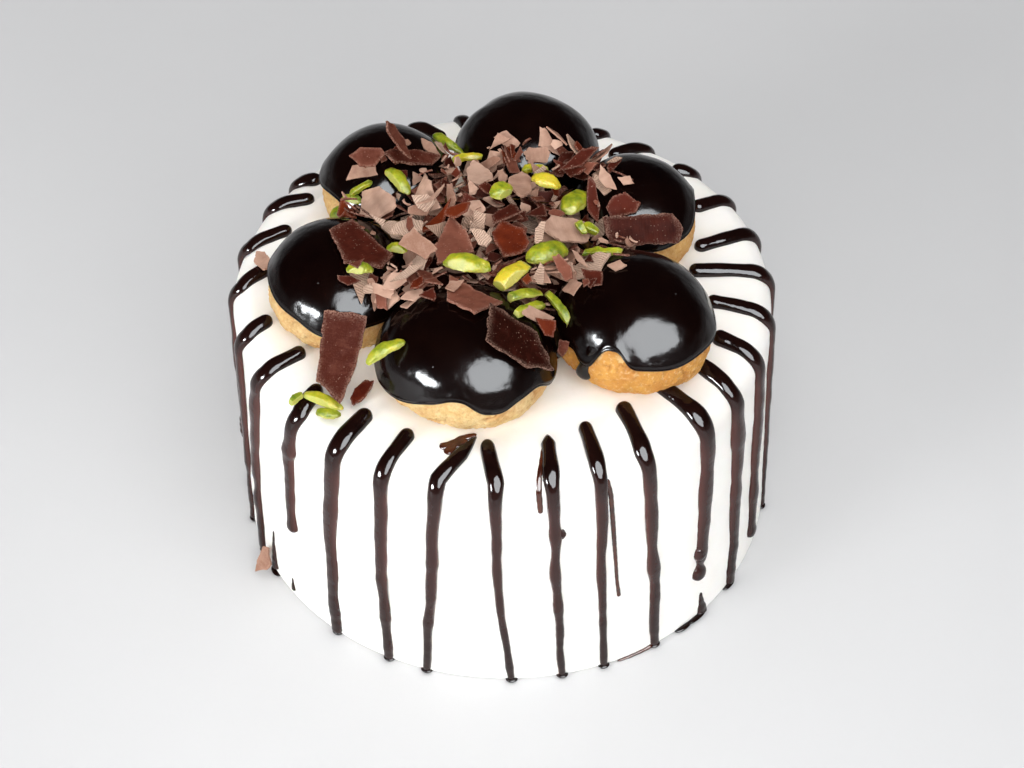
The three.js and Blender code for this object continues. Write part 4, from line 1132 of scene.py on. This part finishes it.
core_angles = np.arange(72) * 2 * np.pi / 72
core_radii = CORE_RADIUS * np.array([1.0, 0.97, 0.93, 0.86, 0.76, 0.64, 0.5, 0.35, 0.2, 0.1])[:, None]
core = np.stack(
    [
        HEAP_X + core_radii * np.cos(core_angles),
        core_radii * np.sin(core_angles),
        CAKE_HEIGHT + core_height(core_radii) + 0 * core_angles,
    ],
    -1,
)
core += outward_from(core) * (0.8 * MM * ripple(core, 5 * MM, 71))[..., None]
core_skin = skin(np.array([HEAP_X, 0, CAKE_HEIGHT]), core, np.array([HEAP_X, 0, CAKE_HEIGHT + CORE_HEIGHT]))
add_piece(
    "heap_core",
    core_skin,
    SHAVING_FINISHES["dark"],
    "dark_chocolate",
    ["shavings_heap"],
    tone=np.zeros(len(core_skin[0])),
    along=core_skin[0][:, 0],
    across=core_skin[0][:, 1],
    rim=np.zeros(len(core_skin[0])),
)

ground = np.full((FIELD_CELLS, FIELD_CELLS), CAKE_HEIGHT)
centres = (np.arange(FIELD_CELLS) + 0.5) * CELL - FIELD
plan_x, plan_y = np.meshgrid(centres, centres, indexing="ij")
ground += core_height(np.hypot(plan_x - HEAP_X, plan_y))
for shell_points, _ in glaze_shells.values():
    np.maximum.at(ground, cells_at(shell_points[:, :2]), shell_points[:, 2])
ceiling = np.full_like(ground, 1.0)
lid = np.zeros_like(ground)
large_nodes = [f"shaving_{name}" for name in LARGE_SHAVINGS]
large_nodes += [f"pistachio_{number + 1:02d}" for number in range(len(YELLOWNESS))]
for node in large_nodes:
    covered = spread_over(node)
    np.minimum.at(ceiling, cells_at(covered[:, :2]), covered[:, 2])
    np.maximum.at(lid, cells_at(covered[:, :2]), covered[:, 2])

SAMPLE_SHARES = np.array([0.0, 0.2, 0.4, 0.6, 0.8, 1.0])


def broken_plate(dice):
    """The outline of a small shaving, within a square of side 2: it has broken on straight lines, so it has
    three to six sharp corners, and the edges between them are slightly jagged."""
    corners = dice.choice([3, 4, 5, 6], p=[0.14, 0.42, 0.3, 0.14])
    uneven = np.arange(corners) + dice.uniform(-0.3, 0.3, corners)
    turns = uneven * 2 * np.pi / corners + dice.uniform(0, 6.3)
    reach = dice.uniform(0.72, 1.12, corners)
    tips = np.stack([reach * np.cos(turns), reach * np.sin(turns)], -1)
    edge_of = np.arange(FLAKE_SIDES) * corners // FLAKE_SIDES
    on_edge = np.bincount(edge_of)
    share = (np.arange(FLAKE_SIDES) - np.searchsorted(edge_of, edge_of)) / on_edge[edge_of]
    start, stop = tips[edge_of], tips[(edge_of + 1) % corners]
    outline = start + (stop - start) * share[:, None]
    return outline * (1 + dice.uniform(-1, 1, FLAKE_SIDES) * np.where(share > 0, 0.11, 0.05))[:, None]


def flake_surface(plan, half_length, half_width, curl, twist):
    """The middle surface of a small shaving over its plan: curled with the square of the length and twisted
    with the product of length and width."""
    x, y = plan[..., 0] * half_length, plan[..., 1] * half_width
    return np.stack([x, y, curl * x**2 / half_length + twist * x * y / half_length], -1)


def settle(surface, shape, plan, spin, tipped, steepest):
    """How a shaving comes to rest over a place. It leans as the plane that fits the heap under it best, by
    least squares, up to the steepest slope, is tipped a little more, and sinks until it first touches.
    Returns its axes, the height of its middle, the cells that it covers and how high its top is there."""
    outline = shape[0]
    all_round = np.concatenate([outline, (outline + np.roll(outline, -1, 0)) / 2])
    sample = flake_surface(all_round * SAMPLE_SHARES[:, None, None], *shape[1:]).reshape(-1, 3)
    c, s = np.cos(spin), np.sin(spin)
    level = sample[:, :2] @ np.array([[c, s], [-s, c]])
    plane = np.stack([np.ones(len(level)), level[:, 0], level[:, 1]], 1)
    _, slope_x, slope_y = np.linalg.lstsq(plane, surface[cells_at(level + plan)], rcond=None)[0]
    normal = np.array([*(tipped - np.clip([slope_x, slope_y], -steepest, steepest)), 1.0])
    normal /= np.linalg.norm(normal)
    long_axis = np.array([c, s, 0.0])
    long_axis -= normal * (long_axis @ normal)
    long_axis /= np.linalg.norm(long_axis)
    axes = np.stack([long_axis, np.cross(normal, long_axis), normal])

    turned = sample @ axes
    cells = cells_at(turned[:, :2] + plan)
    rest = (surface[cells] - turned[:, 2]).max() + FLAKE_THICKNESS / 2
    return axes, rest, cells, rest + turned[:, 2] + FLAKE_THICKNESS / 2


def drop_flakes(tries, lengths, seed, limit, out_power):
    """Drops shavings one after another: each comes to rest on the height field, and then becomes part of it.
    One that would push into a large piece or past the limit is left out. The lengths are the middle, least
    and greatest one in mm, spread as a bell on the logarithm. The lower the power, the more lie far out."""
    dice = np.random.default_rng(seed)
    dropped = {kind: [] for kind in KINDS}
    for _ in range(tries):
        length = np.clip(np.exp(dice.normal(np.log(lengths[0]), 0.38)), lengths[1], lengths[2]) * MM
        width = length * dice.uniform(0.35, 0.95)
        kind = KINDS[dice.choice(5, p=KIND_SHARES)]
        curl = dice.normal(0, 0.12) + (STRONG_CURL if dice.random() < CURLED_ODDS else 0)
        shape = (broken_plate(dice), length / 2, width / 2, curl, dice.normal(0, 0.11))
        tone_value = dice.uniform(0.0, 1.0)
        around = dice.uniform(0, 2 * np.pi)
        out = heap_edge(around) * dice.random() ** out_power
        spin = dice.uniform(0, 2 * np.pi)
        tipped = (STOOD_UP if dice.random() < STOOD_UP_ODDS else LAID_DOWN) * dice.normal(size=2)
        plan = np.array([HEAP_X + out * np.cos(around), out * np.sin(around)])
        axes, rest, cells, top = settle(ground, shape, plan, spin, tipped, STEEPEST_DROPPED)
        if (top > ceiling[cells] - CLEAR_BELOW).any() or top.max() > limit:
            continue
        np.maximum.at(ground, cells, top)
        dropped[kind].append((shape, axes, np.array([*plan, rest]), tone_value))
    return dropped


# Shavings that stand out in the heap: the place, length and width in mm, the turn in degrees, the kind, the
# tone and the curl.
PLACED = [
    (-32.1, -30.1, 16.7, 3.6, 45, "ribbed", 0.8, 0.05),
    (-30, -36.5, 10.6, 5.4, 7, "pale", 0.7, 0.05),
    (-50.7, -26.6, 9.1, 3.4, -24, "dark", 0.6, 0.35),
    (-28.3, -15.7, 12.9, 11.5, 18, "pale", 0.05, 0.03),
    (-32.1, -5.2, 13.3, 9.5, 18, "ribbed", 0.7, 0.05),
    (-31.1, -4.9, 6.6, 3, -95, "mid", 0.5, 0.05),
    (-41.5, -1, 6.8, 5, -39, "ribbed", 0.6, 0.1),
    (-23.8, 6.2, 15.4, 3.6, 45, "pale", 0.5, 0.3),
    (-24.4, -37.4, 6.4, 6.5, 16, "dark", 0.9, 0.1),
    (-28.1, -34.2, 6.2, 5, 8, "red", 0.3, 0.1),
    (-47.8, -25, 6, 4.6, 11, "mid", 0.3, 0.15),
    (-42.6, -27.2, 6.3, 4.5, -91, "mid", 0.1, 0.1),
    (-43.7, -34.1, 5.4, 4, -95, "ribbed", 0.5, 0.1),
    (-17.1, -35.6, 8.5, 5, 47, "pale", 0.2, 0.2),
    (-0.7, -2.9, 11.9, 9, 9, "dark", 0.5, 0),
    (9.8, -1, 9.3, 6, 5, "dark", 0.35, 0.05),
    (10.1, -11.1, 10.1, 4.2, -106, "ribbed", 0.5, 0.1),
    (9.7, -27.9, 9.6, 4.5, -97, "ribbed", 0.35, 0.15),
    (17.6, -27.5, 11.9, 5, -73, "mid", 0.9, 0.15),
    (22.5, -22.1, 9.5, 2.2, -60, "pale", 0.4, 0.1),
    (5.6, -30.1, 9.5, 3.4, -93, "red", 1, 0.1),
    (9.4, -43.7, 11.5, 7.5, -5, "pale", 0.5, 0),
    (11.2, -47.6, 9.1, 7.5, -12, "red", 0.5, 0),
    (23.8, -33.6, 3.9, 3.2, 27, "mid", 0.4, 0.1),
    (-2, -22.5, 11.4, 4, 34, "mid", 0.3, 0.15),
    (-8.1, -12.2, 10.7, 6, -48, "ribbed", 0.6, 0.05),
    (27.6, 8.8, 18.6, 5, -74, "dark", 1, 0.2),
    (10.3, 7, 6.3, 5, -50, "mid", 0.3, 0.05),
    (15.4, 7.2, 5, 3.4, 49, "pale", 0.5, 0.05),
    (17, -46.8, 7.5, 4.4, -105, "mid", 0.25, 0.05),
    (31.9, 14.8, 11.7, 5, -66, "pale", 0.7, 0.1),
    (38.4, 14.3, 6.4, 4, -38, "pale", 0.6, 0.1),
    (23.2, 26.1, 11.8, 5, 4, "dark", 0.5, 0.1),
    (-45.5, 23.1, 11.1, 8, 15, "mid", 0.45, 0),
    (23, 23.9, 16.2, 5.5, 37, "dark", 0.75, 0.1),
    (-16, -1.3, 11, 7.5, 17, "red", 0.75, 0),
]


def place_flakes(seed):
    """Puts each of those shavings at its own place, where it comes to rest on the heap, or on the large piece
    that lies there."""
    dice = np.random.default_rng(seed)
    placed = {kind: [] for kind in KINDS}
    for x, y, length, width, turn, kind, tone_value, curl in PLACED:
        shape = (broken_plate(dice), length / 2 * MM, width / 2 * MM, curl, dice.normal(0, 0.06))
        plan = np.array([x, y]) * MM
        tipped = 0.08 * dice.normal(size=2) - [0, 0.12]
        lying = (shape, plan, np.radians(turn), tipped, STEEPEST_PLACED)
        axes, rest, cells, top = settle(ground, *lying)
        if (top > ceiling[cells] - CLEAR_BELOW).any():
            axes, rest, cells, top = settle(np.maximum(ground, lid), *lying)
        np.maximum.at(ground, cells, top)
        placed[kind].append((shape, axes, np.array([*plan, rest]), tone_value))
    return placed


def flake_skin(shape, axes, centre, _):
    """One small shaving as a closed skin of a few dozen faces: an inner and an outer ring on either side.
    Returns the skin, and each point's place along and across it."""
    outline, half_length, half_width, curl, twist = shape
    rings = []
    for share, side in ((0.75, -1), (1.0, -1), (1.0, 1), (0.75, 1)):
        middle = flake_surface(outline * share, half_length, half_width, curl, twist)
        rings.append(middle + [0, 0, side * FLAKE_THICKNESS / 2])
    hub = np.array([0, 0, FLAKE_THICKNESS / 2])
    points, faces = skin(-hub, np.array(rings), hub)
    return points @ axes + centre, faces, points[:, 0], points[:, 1]


FLAKE_RIM = np.concatenate([[0], np.repeat([0.0, 0.8, 0.8, 0.0], FLAKE_SIDES), [0]])


def add_flakes(name, dropped):
    """All dropped shavings of one kind as one piece."""
    for kind, flakes in dropped.items():
        if not flakes:
            continue
        made = [flake_skin(*flake) for flake in flakes]
        add_piece(
            f"{name}_{kind}",
            join([(points, faces) for points, faces, _, _ in made]),
            SHAVING_FINISHES[kind],
            SLOTS[kind],
            ["shavings_heap"],
            crease=35,
            tone=np.repeat([tone_value for *_, tone_value in flakes], len(FLAKE_RIM)),
            along=np.concatenate([length for _, _, length, _ in made]),
            across=np.concatenate([width for _, _, _, width in made]),
            rim=np.tile(FLAKE_RIM, len(made)),
        )


add_flakes("heap", drop_flakes(LARGE_TRIED, (10.5, 5.0, 17.0), 81, HEAP_TOP, 0.55))
add_flakes("upper", place_flakes(83))
add_flakes("crumbs", drop_flakes(SMALL_TRIED, (4.6, 1.8, 8.0), 82, CRUMBS_TOP, 0.4))

# ---------------------------------------------------------------- the floor, the lights and the camera
# A plain pale floor and four soft lights. The glaze mirrors only a large one at the right of the camera and a
# small one low at the left, and stays dark between them: the room above is dim, and the two lights in front
# and overhead brighten without a reflection.

FLOOR_REACH = 3.0
FLOOR_HEIGHT = -0.2 * MM
FLOOR_LIGHT = colour(205, 205, 206)
FLOOR_DARK = colour(201, 201, 202)
floor_finish, tree, shader = new_material("pale floor", Roughness=0.7)
tree.links.new(add_clouds(tree, FLOOR_LIGHT, FLOOR_DARK, 0.3, 0.4)["Color"], shader["Base Color"])
floor_mesh = bpy.data.meshes.new("floor")
floor_plan = [(-FLOOR_REACH, -FLOOR_REACH), (FLOOR_REACH, -FLOOR_REACH)]
floor_plan += [(FLOOR_REACH, FLOOR_REACH), (-FLOOR_REACH, FLOOR_REACH)]
floor_mesh.from_pydata([(x, y, FLOOR_HEIGHT) for x, y in floor_plan], [], [(0, 1, 2, 3)])
floor_mesh.materials.append(floor_finish)
floor = bpy.data.objects.new("floor", floor_mesh)
bpy.context.scene.collection.objects.link(floor)
floor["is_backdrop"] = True


def stand(thing, right, up, back, place):
    """Puts a light or a camera at a place, with its own +X, +Y and +Z along three directions."""
    stance = np.eye(4)
    stance[:3] = np.stack([right, up, back, place], 1)
    thing.matrix_world = stance.T.tolist()
    bpy.context.scene.collection.objects.link(thing)


LIT_POINT = np.array([0, 0, 0.1])
MIRRORED_AHEAD = 0.03


def add_softbox(name, azimuth, elevation, distance, width, height, radiance, mirrored):
    """A round soft light in a direction seen from the cake, as two lamps: one that brightens, and just in
    front of it a slightly bluer one that only glossy surfaces mirror. The power of each is its radiance times
    pi times its area."""
    a, e = np.radians([azimuth, elevation])
    away = np.array([np.cos(e) * np.cos(a), np.cos(e) * np.sin(a), np.sin(e)])
    side = np.array([-np.sin(a), np.cos(a), 0])
    for part, strength in (("", radiance), (" mirrored", mirrored)):
        light = bpy.data.lights.new(name + part, "AREA")
        light.shape = "ELLIPSE"
        light.size, light.size_y = width, height
        light.energy = strength * np.pi * (np.pi / 4 * width * height)
        light.color = (0.93, 0.97, 1.0) if part else (1.0, 1.0, 1.0)
        lamp = bpy.data.objects.new(name + part, light)
        lamp.visible_camera = False
        lamp.visible_glossy = part != ""
        lamp.visible_diffuse = part == ""
        reach = distance - MIRRORED_AHEAD if part else distance
        stand(lamp, side, np.cross(away, side), away, LIT_POINT + reach * away)


# Each light: azimuth and elevation in degrees, distance, width and height in metres, radiance and the
# radiance of what is mirrored.
add_softbox("large softbox", -67, 41, 1.2, 1.35, 1.25, 2.5, 19)
add_softbox("front fill", -103, 30, 1.3, 0.9, 0.9, 1.6, 0)
add_softbox("low softbox", -139, 15, 1.2, 0.5, 0.3, 22, 95)
add_softbox("ceiling", 90, 80, 2.0, 2.8, 2.8, 1.75, 0)

# The room is grey at the horizon and nearly black above.
world = bpy.data.worlds.new("dim room")
bpy.context.scene.world = world
world.use_nodes = True
tree = world.node_tree
direction = add_node(tree, "ShaderNodeTexCoord").outputs["Generated"]
upwards = add_node(tree, "ShaderNodeSeparateXYZ", {0: direction}).outputs[2]
room = add_node(tree, "ShaderNodeValToRGB", {0: upwards})
room.color_ramp.elements[0].position, room.color_ramp.elements[0].color = 0.02, (0.3, 0.3, 0.305, 1)
room.color_ramp.elements[1].position, room.color_ramp.elements[1].color = 0.22, (0.02, 0.02, 0.022, 1)
tree.links.new(room.outputs[0], tree.nodes["Background"].inputs["Color"])

CAMERA_PLACE = np.array([-8.037, -624.491, 694.584]) * MM
CAMERA_DOWN, CAMERA_YAW, CAMERA_ROLL = np.radians([46.017, -0.8951, 0.3386])
SENSOR_WIDTH = 36
FOCAL_LENGTH = 92.739
level_ahead = np.array([-np.sin(CAMERA_YAW), np.cos(CAMERA_YAW), 0])
ahead = level_ahead * np.cos(CAMERA_DOWN) - np.array([0, 0, np.sin(CAMERA_DOWN)])
level_right = np.array([np.cos(CAMERA_YAW), np.sin(CAMERA_YAW), 0])
straight_up = np.cross(level_right, ahead)
right = level_right * np.cos(CAMERA_ROLL) + straight_up * np.sin(CAMERA_ROLL)
up = straight_up * np.cos(CAMERA_ROLL) - level_right * np.sin(CAMERA_ROLL)
camera = bpy.data.objects.new("camera", bpy.data.cameras.new("camera"))
camera.data.sensor_width = SENSOR_WIDTH
camera.data.lens = FOCAL_LENGTH
stand(camera, right, up, -ahead, CAMERA_PLACE)
bpy.context.scene.camera = camera
bpy.context.scene.view_settings.view_transform = "Standard"

boxes = {"cad": cad_box, "visual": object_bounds()}
{name: [[float(v) for v in corner] for corner in box] for name, box in boxes.items()}
